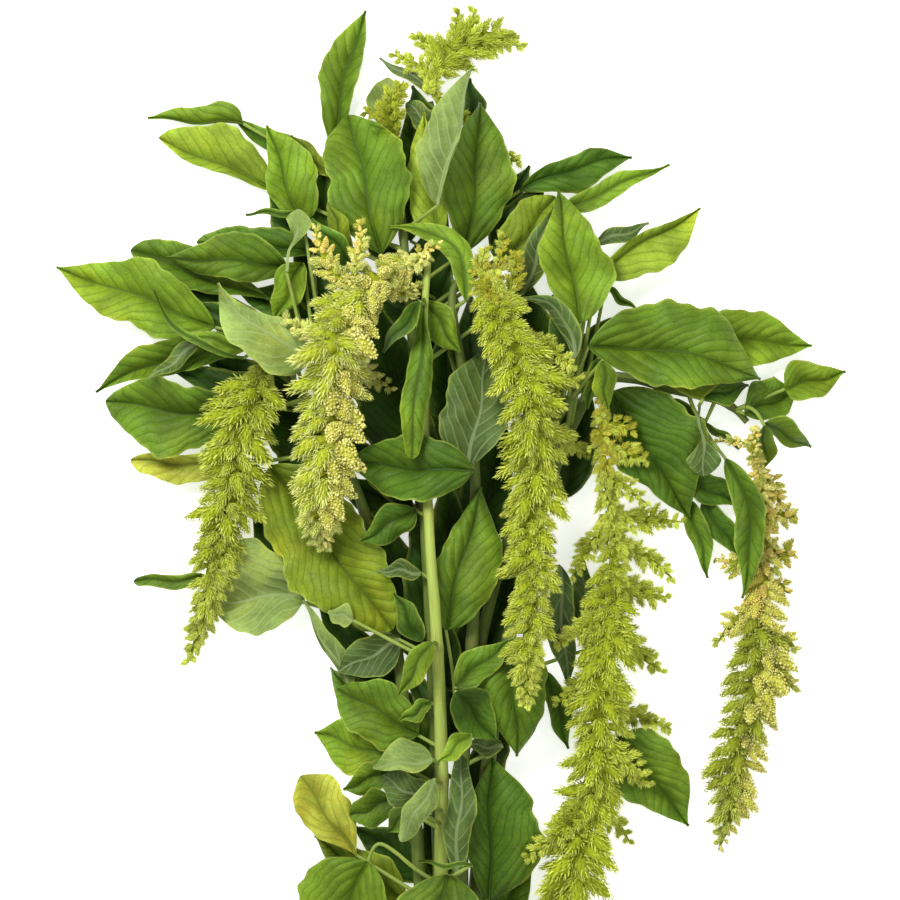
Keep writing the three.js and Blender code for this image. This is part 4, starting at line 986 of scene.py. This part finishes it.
class Piece:
    """One visible piece gathered from many surfaces."""

    def __init__(self, name):
        self.name = name
        self.points = []
        self.faces = []
        self.tints = []
        self.veins = []
        self.slots = []
        self.smooth = []
        self.count = 0

    def add(self, points, faces, tints, slot, veins=(0, 0), upper=1, smooth=True):
        self.points.append(points)
        self.faces.append(faces + self.count)
        colours = np.broadcast_to(tints, points.shape)
        self.tints.append(np.column_stack([colours, np.full(len(points), upper)]))
        self.veins.append(np.broadcast_to(veins, (len(points), 2)))
        self.slots.append(np.full(len(faces), slot))
        self.smooth.append(np.full(len(faces), smooth))
        self.count += len(points)

    def make(self, materials):
        mesh = bpy.data.meshes.new(self.name)
        points = np.concatenate(self.points) * METRES
        corners = np.concatenate([faces.ravel() for faces in self.faces])
        sizes = np.concatenate([np.full(len(faces), faces.shape[1]) for faces in self.faces])
        mesh.vertices.add(len(points))
        mesh.vertices.foreach_set("co", points.ravel())
        mesh.loops.add(len(corners))
        mesh.loops.foreach_set("vertex_index", corners)
        mesh.polygons.add(len(sizes))
        mesh.polygons.foreach_set("loop_start", np.cumsum(sizes) - sizes)
        mesh.polygons.foreach_set("material_index", np.concatenate(self.slots))
        mesh.polygons.foreach_set("use_smooth", np.concatenate(self.smooth))
        colour = mesh.attributes.new("tint", "FLOAT_COLOR", "POINT")
        colour.data.foreach_set("color", np.concatenate(self.tints).ravel())
        veins = mesh.uv_layers.new(name="veins")
        veins.uv.foreach_set("vector", np.concatenate(self.veins)[corners].ravel())
        mesh.update(calc_edges=True)
        for material in materials:
            mesh.materials.append(material)
        piece = bpy.data.objects.new(self.name, mesh)
        bpy.context.scene.collection.objects.link(piece)
        return piece


def grid_faces(rows, columns, closed=False):
    """Quads of a grid that face up, or out when its columns close into a ring."""
    row = np.arange(rows - 1)[:, None] * columns
    column = np.arange(columns if closed else columns - 1)
    after = (column + 1) % columns
    quads = [row + column, row + columns + column, row + columns + after, row + after]
    return np.stack([quad.ravel() for quad in quads], axis=1)


def settle(name, points):
    """Raises a fine sheet where it would dip into what lies below it."""
    rows, columns = points.shape[:2]
    flat = points.reshape(-1, 3)
    lift = fine_pile.floor(flat[:, 0], flat[:, 1]) + LEAF_THICKNESS - flat[:, 2]
    lift = np.maximum(0, lift).reshape(rows, columns)
    for _ in range(SETTLING_PASSES):
        padded = np.pad(lift, 1, mode="edge")
        mean = padded[:-2, 1:-1] + padded[2:, 1:-1] + padded[1:-1, :-2] + padded[1:-1, 2:]
        lift = np.maximum(lift, SETTLING_SHARE * mean / 4)
    points[..., 2] += lift
    fine_pile.add(name, *points.reshape(-1, 3).T)


def add_sheet(piece, points, tints, veins, upper):
    """A leaf blade with an upper face, an underside and a rim between them."""
    rows, columns = points.shape[:2]
    top = points.reshape(-1, 3)
    bottom = top - (0, 0, LEAF_THICKNESS)
    faces = grid_faces(rows, columns)
    below = lerp(tints, LEAF_TINTS["pale"], UNDERSIDE_SHARE)
    piece.add(top, faces, tints, LEAF_SLOT, veins, upper)
    piece.add(bottom, faces[:, [0, 3, 2, 1]], below, LEAF_SLOT, veins, 0)
    index = np.arange(rows * columns).reshape(rows, columns)
    ring = np.concatenate([index[0, :-1], index[:-1, -1], index[-1, :0:-1], index[:0:-1, 0]])
    rim = np.stack([top[ring], bottom[ring]], axis=1).reshape(-1, 3)
    first = 2 * np.arange(len(ring))
    after = np.roll(first, -1)
    sides = np.stack([first, after, after + 1, first + 1], axis=1)
    rim_tints, rim_veins = (np.repeat(values[ring], 2, axis=0) for values in (tints, veins))
    piece.add(rim, sides, rim_tints, LEAF_SLOT, rim_veins, upper)


def fine_blade(piece, name, blade, lifts, draw):
    """A veined leaf blade with wavy margins over its laid rows."""
    mesh = DEEP_BLADE_MESH if blade.tint == "deep_shade" else BLADE_MESH
    rows = max(FEWEST_FINE_ROWS, math.ceil(blade.length / mesh)) + 1
    columns = 2 * max(FEWEST_FINE_COLUMNS, math.ceil(blade.whole / mesh)) + 1
    along, across = np.meshgrid(np.linspace(0, 1, rows), np.linspace(-1, 1, columns), indexing="ij")
    reach = np.abs(across)
    width = blade.half_width(along, across) * reach

    taper = np.sin(np.pi * along)
    left_side = across > 0
    travelled = along * blade.length
    edge = np.ones(along.shape)
    for wave_length, share in EDGE_WAVES:
        start = np.where(left_side, next(draw), next(draw))
        edge = edge + share * taper * np.sin(2 * np.pi * (travelled / wave_length + start))
    rounding = BLUNT_ROUNDING * blade.blunt * blade.whole / blade.length * along ** BLUNT_REACH
    points = blade.points(along - rounding * across ** 2, across * edge)
    wobble = WOBBLE * taper * np.sin(2 * np.pi * (WOBBLE_WAVES * along + next(draw)))
    points[..., :2] += wobble[..., None] * blade.leftward
    right, middle, left = spline(lifts, np.linspace(0, 1, rows)).T[..., None]
    lift = middle + across * (left - right) / 2 + across ** 2 * ((left + right) / 2 - middle)
    points[..., 2] += np.maximum(0, lift)

    relief = min(1, blade.whole / FULL_RELIEF_HALF_WIDTH)
    start = np.where(left_side, next(draw), next(draw))
    ripple = np.cos(2 * np.pi * (travelled / EDGE_RIPPLE_LENGTH + start))
    swell = np.sin(2 * np.pi * (travelled / SWELL_LENGTH + start)) * np.sin(np.pi * reach)
    points[..., 2] += relief * taper * (EDGE_RIPPLE * reach ** 2 * ripple + SWELL * swell)
    points[..., 2] += HALF_BULGE * blade.half_width(along, across) * np.sin(np.pi * reach) + VEE * width
    spacing = min(VEIN_SPACING, blade.length / FEWEST_VEINS)
    phase = (travelled - VEIN_LEAN * width - VEIN_CURVE * width ** 2) / spacing + VEIN_SIDE_SHIFT * left_side
    phase = phase + VEIN_UNEVENNESS * np.sin(2 * np.pi * (UNEVEN_WAVES * along + start))
    rib_width = lerp(*RIB_WIDTHS, along)
    pillow = np.abs(np.sin(np.pi * phase)) * np.minimum(1, width / VEINLESS_WIDTH) * (1 - reach ** 4)
    rib = np.exp(-(width / rib_width) ** 2)
    upper = 0 if blade.tint in UNDERSIDES else 1
    sign = 1 if upper else -1
    points[..., 2] += sign * relief * (VEIN_DEPTH * pillow - RIB_DEPTH * rib)
    settle(name, points)

    # Each leaf's brightness is partly its own tone and partly painted light and shade for its tilt
    tint = LEAF_TINTS[blade.tint] * lerp(*LEAF_TONE_AND_TILT_LIGHT, next(draw))
    # Painted shade darkens each leaf towards its base and along its midrib
    tone = lerp(*LEAF_BASE_AND_MIDRIB_SHADE, np.sqrt(reach * along)).reshape(-1, 1)
    margin = np.clip((reach - MARGIN_START) / (1 - MARGIN_START), 0, 1).reshape(-1, 1)
    tints = lerp(tint * tone, MARGIN_TINT, MARGIN_SHARE * margin ** 2)
    veins = np.column_stack([phase.ravel(), (width / rib_width).ravel()])
    add_sheet(piece, points, tints, veins, upper)


def unit(directions):
    """Directions of length one."""
    return directions / np.linalg.norm(directions, axis=-1, keepdims=True)


class Line:
    """A smooth line through laid stations with its own left, ahead and up directions."""

    def __init__(self, stations, step, fewest):
        count = max(fewest, math.ceil(run_length(stations) / step))
        self.shares = np.linspace(0, 1, count + 1)
        self.middle = spline(stations, self.shares)
        self.left = np.column_stack([left_directions(self.middle), np.zeros(count + 1)])
        self.ahead = unit(np.gradient(self.middle, axis=0))
        self.up = np.cross(self.ahead, self.left)
        gaps = np.linalg.norm(np.diff(self.middle, axis=0), axis=1)
        self.travelled = np.concatenate([[0], np.cumsum(gaps)])

    def ring(self, angle, flatness=1):
        """Directions round the line for each angle."""
        return (self.left[:, None] * np.cos(angle)[:, None]
                + flatness * self.up[:, None] * np.sin(angle)[:, None])

    def at(self, values, spots):
        return np.column_stack([np.interp(spots, self.shares, column) for column in values.T])


def add_tube(piece, rings, tints, veins, slot):
    """A tube through rings of points, closed at both ends."""
    rows, sides = rings.shape[:2]
    rings[..., 2] = np.maximum(rings[..., 2], 0)
    faces = grid_faces(rows, sides, closed=True)[:, ::-1]
    piece.add(rings.reshape(-1, 3), faces, tints, slot, veins)
    column = np.arange(sides - 2)
    cap = np.column_stack([np.zeros(sides - 2, int), column + 1, column + 2])
    tints = np.broadcast_to(tints, (rows * sides, 3))
    piece.add(rings[0], cap[:, ::-1], tints[:sides], slot, smooth=False)
    piece.add(rings[-1], cap, tints[-sides:], slot, smooth=False)


def fine_run(piece, name, run, radii, sides, ribs, tint):
    """A ribbed stem or stalk, a little thicker and browner at its nodes."""
    line = Line(run.centre, TUBE_STEP, FEWEST_TUBE_ROWS)
    angle = 2 * np.pi * np.arange(sides) / sides
    radius = np.interp(line.shares, np.linspace(0, 1, len(radii)), radii)
    from_node = (line.travelled + NODE_SPACING / 2) % NODE_SPACING - NODE_SPACING / 2
    node = np.exp(-(from_node / NODE_LENGTH) ** 2) * (line.travelled > NODE_SPACING / 2)
    ring = (radius * (1 + NODE_SWELL * node))[:, None] * (1 + RIB_RELIEF * np.cos(ribs * angle))
    rings = line.middle[:, None] + ring[..., None] * line.ring(angle)
    tints = np.repeat(lerp(tint, NODE_TINT, NODE_SHARE * node[:, None]), sides, axis=0)
    veins = np.column_stack([np.tile(angle, len(radius)), np.repeat(line.travelled, sides)])
    add_tube(piece, rings, tints, veins, STEM_SLOT)
    fine_pile.add(name, *rings.reshape(-1, 3).T)


def fine_branch(piece, number, branch, rng):
    """One tassel branch: a soft core under many fluffy mounds of bracts or of round florets."""
    name = f"tassel_{number}"
    line = Line(branch.centre, CORE_STEP, FEWEST_TUBE_ROWS)
    halves = np.maximum(THINNEST_BRANCH, branch.half_at(line.shares))
    angle = 2 * np.pi * np.arange(CORE_SIDES) / CORE_SIDES
    rings = line.middle[:, None] + FINE_CORE_SHARE * halves[:, None, None] * line.ring(angle, TASSEL_FLATNESS)
    shade, light = BRACT_SHADE_AND_HIGHLIGHT[number]
    # The core shows through the gaps between mounds and is painted darker as the shade that falls there
    add_tube(piece, rings, CORE_PAINTED_SHADE * shade, (0, 0), ONLY_SLOT)

    spacing = MOUND_SPACING + MOUND_SPACING_SHARE * halves
    crowd = np.pi * MOUND_SPREAD * halves / spacing ** 2
    crowd = np.cumsum(crowd * np.gradient(line.travelled))
    count = math.ceil(crowd[-1])
    counted = (np.arange(count) + rng.uniform(0, 1, count)) / count
    spot = np.interp(counted, crowd / crowd[-1], line.shares)
    turned = (np.arange(count) * GOLDEN_SHARE + rng.uniform(0, MOUND_TURN_SCATTER, count)) % 1
    turn = np.pi * (0.5 + MOUND_SPREAD * (2 * turned - 1))
    half = np.interp(spot, line.shares, halves)
    aside = np.cos(turn)
    outward = line.at(line.left, spot) * aside[:, None]
    outward = outward + TASSEL_FLATNESS * line.at(line.up, spot) * np.sin(turn)[:, None]
    ahead = line.at(line.ahead, spot)
    root = line.at(line.middle, spot)
    middle = root + outward * (half * rng.uniform(*MOUND_REACH, count))[:, None]
    axis = outward + ahead * rng.uniform(*MOUND_SLANT, (count, 1))
    axis = unit(axis + rng.normal(0, MOUND_AXIS_SCATTER, (count, 3)))
    radius = np.maximum(SMALLEST_MOUND, MOUND_SHARE * half) * rng.uniform(*MOUND_VARIETY, count)

    gold = GOLDEN_ROWS.get(number, 0)
    golden = (middle[:, 1] > place((0, gold))[1]) & (rng.uniform(0, 1, count) < GOLDEN_CHANCE)
    light = np.where(golden[:, None], lerp(light, GOLD_TINT, GOLDEN_MIX), light)
    beaded = np.zeros(count, bool)
    if number in BEADED_ABOVE:
        arm = middle[:, 1] > place((0, BEADED_ABOVE[number]))[1]
        beaded = ((aside > BEADED_SIDE) | arm) & (rng.uniform(0, 1, count) < BEADED_CHANCE)
    # Bodies under bract mounds take the painted shade colour, which shows in the gaps between bracts
    tints = np.where(beaded[:, None], FLORET_SHADE, shade)
    add_bodies(piece, name, root, middle, axis, radius, tints)
    for florets in (False, True):
        chosen = beaded == florets
        per_mm, limits = (FLORETS_PER_MM, FLORET_COUNTS) if florets else (BRACTS_PER_MM, BRACT_COUNTS)
        places = int(np.clip(per_mm * radius.mean(), *limits))
        mounds = Mounds(middle[chosen], axis[chosen], radius[chosen], places)
        if florets:
            add_florets(piece, name, mounds, golden[chosen], rng)
        else:
            add_bracts(piece, name, mounds, shade, light[chosen], rng)


class Mounds:
    """Places spread over the outer faces of many ovoid mounds, but not over their undersides."""

    def __init__(self, middle, axis, radius, number):
        mound = np.repeat(np.arange(len(middle)), number)
        ahead = 1 - (1 - MOUND_FACE) * (np.arange(number) + 0.5) / number
        ahead = np.tile(ahead, len(middle))[:, None]
        turn = GOLDEN_ANGLE * np.arange(len(mound))[:, None]
        out, shape = ovoid(axis[mound], ahead, turn)
        seen = out[:, 2] > LOWEST_OUTWARD
        self.mound = mound[seen]
        self.count = len(self.mound)
        self.middle = middle[self.mound]
        self.axis = axis[self.mound]
        self.radius = radius[self.mound][:, None]
        self.out = out[seen]
        self.shape = shape[seen]


def ovoid(axis, ahead, turn):
    """Outward directions round an axis and places on an ovoid drawn out along it."""
    level = unit(np.cross(axis, NEARLY_UPRIGHT))
    around = level * np.cos(turn) + np.cross(axis, level) * np.sin(turn)
    level_share = np.sqrt(1 - ahead ** 2)
    out = axis * ahead + around * level_share
    drawn = axis * (ahead + MOUND_STRETCH * np.maximum(0, ahead) ** MOUND_POINT)
    return out, drawn + around * level_share ** MOUND_TAPER


def add_bodies(piece, name, root, middle, axis, radius, tints):
    """The soft bodies of the mounds under their bracts and florets, each drawn back to its root."""
    ahead = np.repeat(np.cos(np.linspace(np.pi, 0, BODY_RINGS)), BODY_SIDES)
    turn = np.tile(2 * np.pi * np.arange(BODY_SIDES) / BODY_SIDES, BODY_RINGS)
    faces = grid_faces(BODY_RINGS, BODY_SIDES, closed=True)[:, ::-1]
    number = len(ahead)
    _, shape = ovoid(np.repeat(axis, number, axis=0), np.tile(ahead, len(axis))[:, None],
                     np.tile(turn, len(axis))[:, None])
    size = BODY_SHARE * np.repeat(radius, number)[:, None]
    points = np.repeat(middle, number, axis=0) + shape * size
    backward = np.tile(np.maximum(0, -ahead), len(axis))[:, None]
    points = points + np.repeat(root - middle, number, axis=0) * backward
    rest_on_pile(points, name)
    first = number * np.arange(len(axis))[:, None, None]
    piece.add(points, (first + faces).reshape(-1, 4), np.repeat(tints, number, axis=0), ONLY_SLOT)


def rest_on_pile(points, name):
    """Raises points that would dip into what already lies below the tassel."""
    points[:, 2] = np.maximum(points[:, 2], fine_pile.floor(points[:, 0], points[:, 1], name))


def add_bracts(piece, name, mounds, shade, light, rng):
    """Mounds bristling with slim pointed bracts, with painted shade that makes them dark at the foot and a
    painted highlight that makes them pale at the point.
    """
    foot = mounds.middle + mounds.shape * mounds.radius * BRACT_FOOT
    lean = BRACT_LEAN * np.clip(LEAN_RADIUS / mounds.radius, *LEAN_SHARES)
    way = unit(mounds.out + mounds.axis * lean + rng.normal(0, BRACT_SCATTER, (mounds.count, 3)))
    size = np.maximum(SHORTEST_BRACT, mounds.radius * rng.uniform(*BRACT_SIZES, (mounds.count, 1)))
    side = unit(np.cross(way, rng.normal(0, 1, (mounds.count, 3))))
    back = np.cross(side, way)
    width = np.clip(size * BRACT_SLIMNESS, *BRACT_WIDTHS)
    corners = [foot + side * width, foot - side * width, foot + back * width, foot + way * size]
    points = np.stack(corners, axis=1).reshape(-1, 3)
    rest_on_pile(points, name)
    first = 4 * np.arange(mounds.count)[:, None]
    faces = np.concatenate([first + np.array(face) for face in BRACT_FACES])
    # Foot corners take mostly the painted shade, the point the painted highlight
    tone = np.outer(rng.uniform(*BRACT_TONES, mounds.count), BRACT_SHADING)
    mound_shade = rng.uniform(*MOUND_SHADES, len(light))[mounds.mound]
    light = light[mounds.mound][:, None]
    tints = lerp(shade, light, np.minimum(1, tone)[..., None]) * mound_shade[:, None, None]
    piece.add(points, faces, tints.reshape(-1, 3), ONLY_SLOT, smooth=False)
    fine_pile.add(name, *points[3::4].T)


def add_florets(piece, name, mounds, golden, rng):
    """Mounds of small round florets."""
    scatter = rng.normal(0, FLORET_SCATTER, (mounds.count, 3))
    middle = mounds.middle + (mounds.shape * FLORET_FOOT + scatter) * mounds.radius
    radius = np.maximum(SMALLEST_FLORET, FLORET_SHARE * mounds.radius)
    radius = radius * rng.uniform(*FLORET_SIZES, (mounds.count, 1))
    points = (middle[:, None] + radius[:, None] * np.array(FLORET_CORNERS)).reshape(-1, 3)
    rest_on_pile(points, name)
    corners = len(FLORET_CORNERS)
    first = corners * np.arange(mounds.count)[:, None]
    faces = np.concatenate([first + np.array(face) for face in FLORET_FACES])
    tone = np.repeat(rng.uniform(*FLORET_TONES, mounds.count), corners)[:, None]
    gold = GOLDEN_MIX * np.repeat(golden[mounds.mound], corners)[:, None]
    tints = lerp(lerp(FLORET_SHADE, FLORET_LIGHT, tone), FLORET_GOLD, gold)
    piece.add(points, faces, tints, ONLY_SLOT)
    fine_pile.add(name, *middle.T)


# Materials

def make_material(name, roughness, specular):
    """A material and the shader that its pattern is wired to."""
    material = bpy.data.materials.new(name)
    material.use_nodes = True
    shader = material.node_tree.nodes["Principled BSDF"]
    shader.inputs["Roughness"].default_value = roughness
    shader.inputs["Specular IOR Level"].default_value = specular
    return material, shader


class Pattern:
    """Small helper that adds pattern nodes to a material."""

    def __init__(self, material):
        self.tree = material.node_tree

    def node(self, kind, settings=None, **inputs):
        node = self.tree.nodes.new(kind)
        for key, value in (settings or {}).items():
            setattr(node, key, value)
        for key, value in inputs.items():
            self.put(node.inputs[key.replace("_", " ")], value)
        return node

    def put(self, socket, value):
        if isinstance(value, bpy.types.NodeSocket):
            self.tree.links.new(value, socket)
        else:
            socket.default_value = value

    def math(self, operation, first, second=0.0):
        node = self.node("ShaderNodeMath", {"operation": operation})
        self.put(node.inputs[0], first)
        self.put(node.inputs[1], second)
        return node.outputs[0]

    def ramp(self, value, low, high, to_low=0.0, to_high=1.0):
        node = self.node("ShaderNodeMapRange", {"interpolation_type": "SMOOTHSTEP"}, Value=value)
        node.inputs["From Min"].default_value = low
        node.inputs["From Max"].default_value = high
        node.inputs["To Min"].default_value = to_low
        node.inputs["To Max"].default_value = to_high
        return node.outputs["Result"]

    def mix(self, factor, first, second, blend="MIX"):
        node = self.node("ShaderNodeMix", {"data_type": "RGBA", "blend_type": blend})
        self.put(node.inputs["Factor"], factor)
        self.put(node.inputs["A"], first)
        self.put(node.inputs["B"], second)
        return node.outputs["Result"]

    def noise(self, scale, detail=3.0, roughness=0.55):
        place_in_frame = self.node("ShaderNodeTexCoord").outputs["Object"]
        node = self.node("ShaderNodeTexNoise", Vector=place_in_frame, Scale=scale, Detail=detail)
        node.inputs["Roughness"].default_value = roughness
        return node.outputs["Fac"]

    def tint(self):
        """Colour of the surface, and 1 on upper faces but 0 on undersides."""
        node = self.node("ShaderNodeAttribute", {"attribute_name": "tint"})
        return node.outputs["Color"], node.outputs["Alpha"]

    def shaded(self, colour, shade):
        """A colour made darker or lighter by a number."""
        grey = self.node("ShaderNodeCombineColor", Red=shade, Green=shade, Blue=shade).outputs["Color"]
        return self.mix(1.0, colour, grey, "MULTIPLY")

    def veins(self):
        place_on_blade = self.node("ShaderNodeUVMap", {"uv_map": "veins"}).outputs["UV"]
        split = self.node("ShaderNodeSeparateXYZ", Vector=place_on_blade)
        return split.outputs["X"], split.outputs["Y"]

    def bump(self, height, strength, distance):
        node = self.node("ShaderNodeBump", Height=height, Strength=strength, Distance=distance)
        return node.outputs["Normal"]


def leaf_material():
    """Fresh leaf: dark veins and midrib on upper faces, partly their own colour and partly painted shade in
    their grooves, and pale ones below, blotched green between, a fine net.
    """
    material, shader = make_material("fresh_leaf", 0.5, 0.12)
    pattern = Pattern(material)
    phase, rib = pattern.veins()
    tint, upper = pattern.tint()
    from_vein = pattern.math("ABSOLUTE", pattern.math("SUBTRACT", pattern.math("FRACT", phase), 0.5))
    vein = pattern.ramp(from_vein, *VEIN_LIMITS)
    midrib = pattern.ramp(rib, *MIDRIB_LIMITS)
    line = pattern.math("MAXIMUM", pattern.math("MULTIPLY", vein, VEIN_STRENGTH), midrib)
    net = pattern.noise(*NET_NOISE)
    blotch = pattern.noise(BLOTCH_SCALE)
    yellowed = pattern.mix(1.0, tint, YELLOWING, "MULTIPLY")
    blotched = pattern.mix(pattern.ramp(blotch, *BLOTCH_LIMITS), tint, yellowed)
    tone = pattern.ramp(pattern.noise(GREEN_SCALE), *NOISE_LIMITS, *GREEN_TONES)
    grain = pattern.ramp(net, *NOISE_LIMITS, *NET_TONES)
    green = pattern.shaded(blotched, pattern.math("MULTIPLY", tone, grain))
    pale = pattern.mix(PALE_VEIN_SHARE, tint, PALE_VEIN)
    # On upper faces veins and midrib are darkened, partly as painted shade in their grooves
    dark = pattern.mix(1.0, tint, DARK_VEIN_AND_GROOVE_SHADE, "MULTIPLY")
    line_colour = pattern.mix(upper, pale, dark)
    colour = pattern.mix(pattern.math("MULTIPLY", line, VEIN_SHARE), green, line_colour)
    pattern.put(shader.inputs["Base Color"], colour)
    height = pattern.math("SUBTRACT", pattern.math("MULTIPLY", net, NET_RELIEF), line)
    pattern.put(shader.inputs["Normal"], pattern.bump(height, *LEAF_BUMP))
    return material


def stem_material():
    """Juicy stem: pale green with lengthwise streaks."""
    material, shader = make_material("fresh_stem", 0.45, 0.18)
    pattern = Pattern(material)
    angle, travelled = pattern.veins()
    across = pattern.math("MULTIPLY", angle, STREAKS_ROUND)
    along = pattern.math("MULTIPLY", travelled, STREAKS_ALONG)
    spot = pattern.node("ShaderNodeCombineXYZ", X=across, Y=along).outputs["Vector"]
    streak = pattern.node("ShaderNodeTexNoise", Vector=spot, Scale=STREAK_SCALE, Detail=STREAK_DETAIL)
    streak = streak.outputs["Fac"]
    shade = pattern.ramp(streak, *NOISE_LIMITS, *STREAK_TONES)
    pattern.put(shader.inputs["Base Color"], pattern.shaded(pattern.tint()[0], shade))
    pattern.put(shader.inputs["Normal"], pattern.bump(streak, *STEM_BUMP))
    return material


def tassel_material():
    """Soft bracts and florets: matt, mottled from tuft to tuft."""
    material, shader = make_material("tassel_bracts", 0.8, 0.05)
    pattern = Pattern(material)
    shade = pattern.ramp(pattern.noise(TUFT_SCALE), *NOISE_LIMITS, *TUFT_TONES)
    pattern.put(shader.inputs["Base Color"], pattern.shaded(pattern.tint()[0], shade))
    grain = pattern.noise(TASSEL_GRAIN_SCALE)
    pattern.put(shader.inputs["Normal"], pattern.bump(grain, *TASSEL_BUMP))
    return material


def rubber_material():
    """Natural rubber: tan and dusty with fine grain."""
    material, shader = make_material("tan_rubber", 0.75, 0.3)
    pattern = Pattern(material)
    dust = pattern.noise(*DUST_NOISE)
    shade = pattern.ramp(dust, *NOISE_LIMITS, *DUST_TONES)
    pattern.put(shader.inputs["Base Color"], pattern.shaded(pattern.tint()[0], shade))
    pattern.put(shader.inputs["Normal"], pattern.bump(dust, *RUBBER_BUMP))
    return material


# Rubber band

def band_outline(radius):
    """Outline round the outer six stems, in the upright plane across them."""
    outline = []
    for index, slot in enumerate(BAND_SLOTS):
        x, z = slot_middle(slot)
        for step in range(BAND_ARC_STEPS + 1):
            angle = -math.pi / 2 + (index + step / BAND_ARC_STEPS) * math.pi / 3
            outline.append((x + radius * math.cos(angle), z + radius * math.sin(angle)))
    return np.array(outline)


def fine_band():
    """The rubber band with softly rounded edges."""
    inside = STEM_CUT_RADIUS + BAND_CLEARANCE
    outside = inside + BAND_THICKNESS
    half = BAND_WIDTH / 2
    section = [
        (inside, BAND_SOFTNESS - half), (inside + BAND_SOFTNESS, -half), (outside - BAND_SOFTNESS, -half),
        (outside, BAND_SOFTNESS - half), (outside, half - BAND_SOFTNESS), (outside - BAND_SOFTNESS, half),
        (inside + BAND_SOFTNESS, half), (inside, half - BAND_SOFTNESS),
    ]
    rings = []
    for radius, y in section:
        outline = band_outline(radius)
        rings.append(np.column_stack([outline[:, 0], np.full(len(outline), y), outline[:, 1]]))
    rings.append(rings[0])
    points = np.concatenate(rings)
    piece = Piece("rubber_band")
    faces = grid_faces(len(rings), len(rings[0]), closed=True)
    piece.add(points, faces, RUBBER_TINT, ONLY_SLOT)
    return piece.make([rubber_material()])


# Piling up the bunch

stems = {}
pieces = {}
leaf_draw = seeded_draw(LEAF_SEED)

for stem, level, leaves, tassel in LAYERS:
    name = f"leafy_stem_{stem}"
    if stem not in stems:
        stems[stem] = lay_stem(stem, level)
        pieces[name] = Piece(name + "_fresh")
        tint = STEM_TINT if stem == FRONT_STEM else SHADED_STEM_TINT
        fine_run(pieces[name], name, stems[stem], stems[stem].radius, STEM_SIDES, STEM_RIBS, tint)
    for leaf in leaves:
        blade = Blade(leaf, level)
        corners, lifts = lay_blade(name, blade)
        stalk = lay_stalk(name, stems[stem], corners[0, 1], blade.via)
        fine_run(pieces[name], name, stalk, STALK_RADII, STALK_SIDES, STALK_RIBS, STALK_TINT)
        fine_blade(pieces[name], name, blade, lifts, leaf_draw)
    if tassel:
        rng = np.random.default_rng(tassel)
        piece = Piece(f"tassel_{tassel}_fresh")
        for branch in lay_tassel(tassel, stems[tassel]):
            fine_branch(piece, tassel, branch, rng)
        pieces[f"tassel_{tassel}"] = piece

leafy = [leaf_material(), stem_material()]
flowery = [tassel_material()]
for node, gathered in pieces.items():
    flowers = node.startswith("tassel")
    piece = gathered.make(flowery if flowers else leafy)
    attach(piece, "root")
    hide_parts(node)

band = fine_band()
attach(band, "root")
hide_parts("stem_band")


# Table, light and camera

def make_floor():
    """The plain white table that the bunch lies on."""
    mesh = bpy.data.meshes.new("table")
    size = FLOOR_SIZE / 2
    corners = [(-size, -size, 0), (size, -size, 0), (size, size, 0), (-size, size, 0)]
    mesh.from_pydata(corners, [], [(0, 1, 2, 3)])
    material, shader = make_material("white_table", 0.9, 0.1)
    shader.inputs["Base Color"].default_value = FLOOR_COLOUR
    shader.inputs["Emission Color"].default_value = WHITE
    shader.inputs["Emission Strength"].default_value = FLOOR_GLOW
    mesh.materials.append(material)
    floor = bpy.data.objects.new("table", mesh)
    floor.location = (0, PICTURE_MIDDLE_Y, 0)
    bpy.context.scene.collection.objects.link(floor)


def add_light(name, location, size, power):
    """A soft square light that faces the middle of the bunch."""
    light = bpy.data.lights.new(name, "AREA")
    light.shape = "SQUARE"
    light.size = size
    light.energy = power
    lamp = bpy.data.objects.new(name, light)
    lamp.location = location
    target = np.array([0, PICTURE_MIDDLE_Y, 0])
    x, y, z = target - np.array(location)
    lamp.rotation_euler = (math.atan2(math.hypot(x, y), -z), 0, math.atan2(-x, y))
    bpy.context.scene.collection.objects.link(lamp)


make_floor()
for light in LIGHTS:
    add_light(*light)

world = bpy.data.worlds.new("studio")
world.use_nodes = True
world.node_tree.nodes["Background"].inputs["Color"].default_value = WHITE
world.node_tree.nodes["Background"].inputs["Strength"].default_value = WORLD_STRENGTH
bpy.context.scene.world = world
bpy.context.scene.view_settings.view_transform = "Standard"

lens = bpy.data.cameras.new("camera")
lens.sensor_width = CAMERA_SENSOR
lens.lens = CAMERA_SENSOR * CAMERA_DISTANCE / (PICTURE_PIXELS * MM_PER_PIXEL * METRES)
lens.clip_end = 2 * CAMERA_DISTANCE
camera = bpy.data.objects.new("camera", lens)
camera.location = (0, PICTURE_MIDDLE_Y, CAMERA_DISTANCE + CAMERA_FOCUS_HEIGHT)
bpy.context.scene.collection.objects.link(camera)
bpy.context.scene.camera = camera
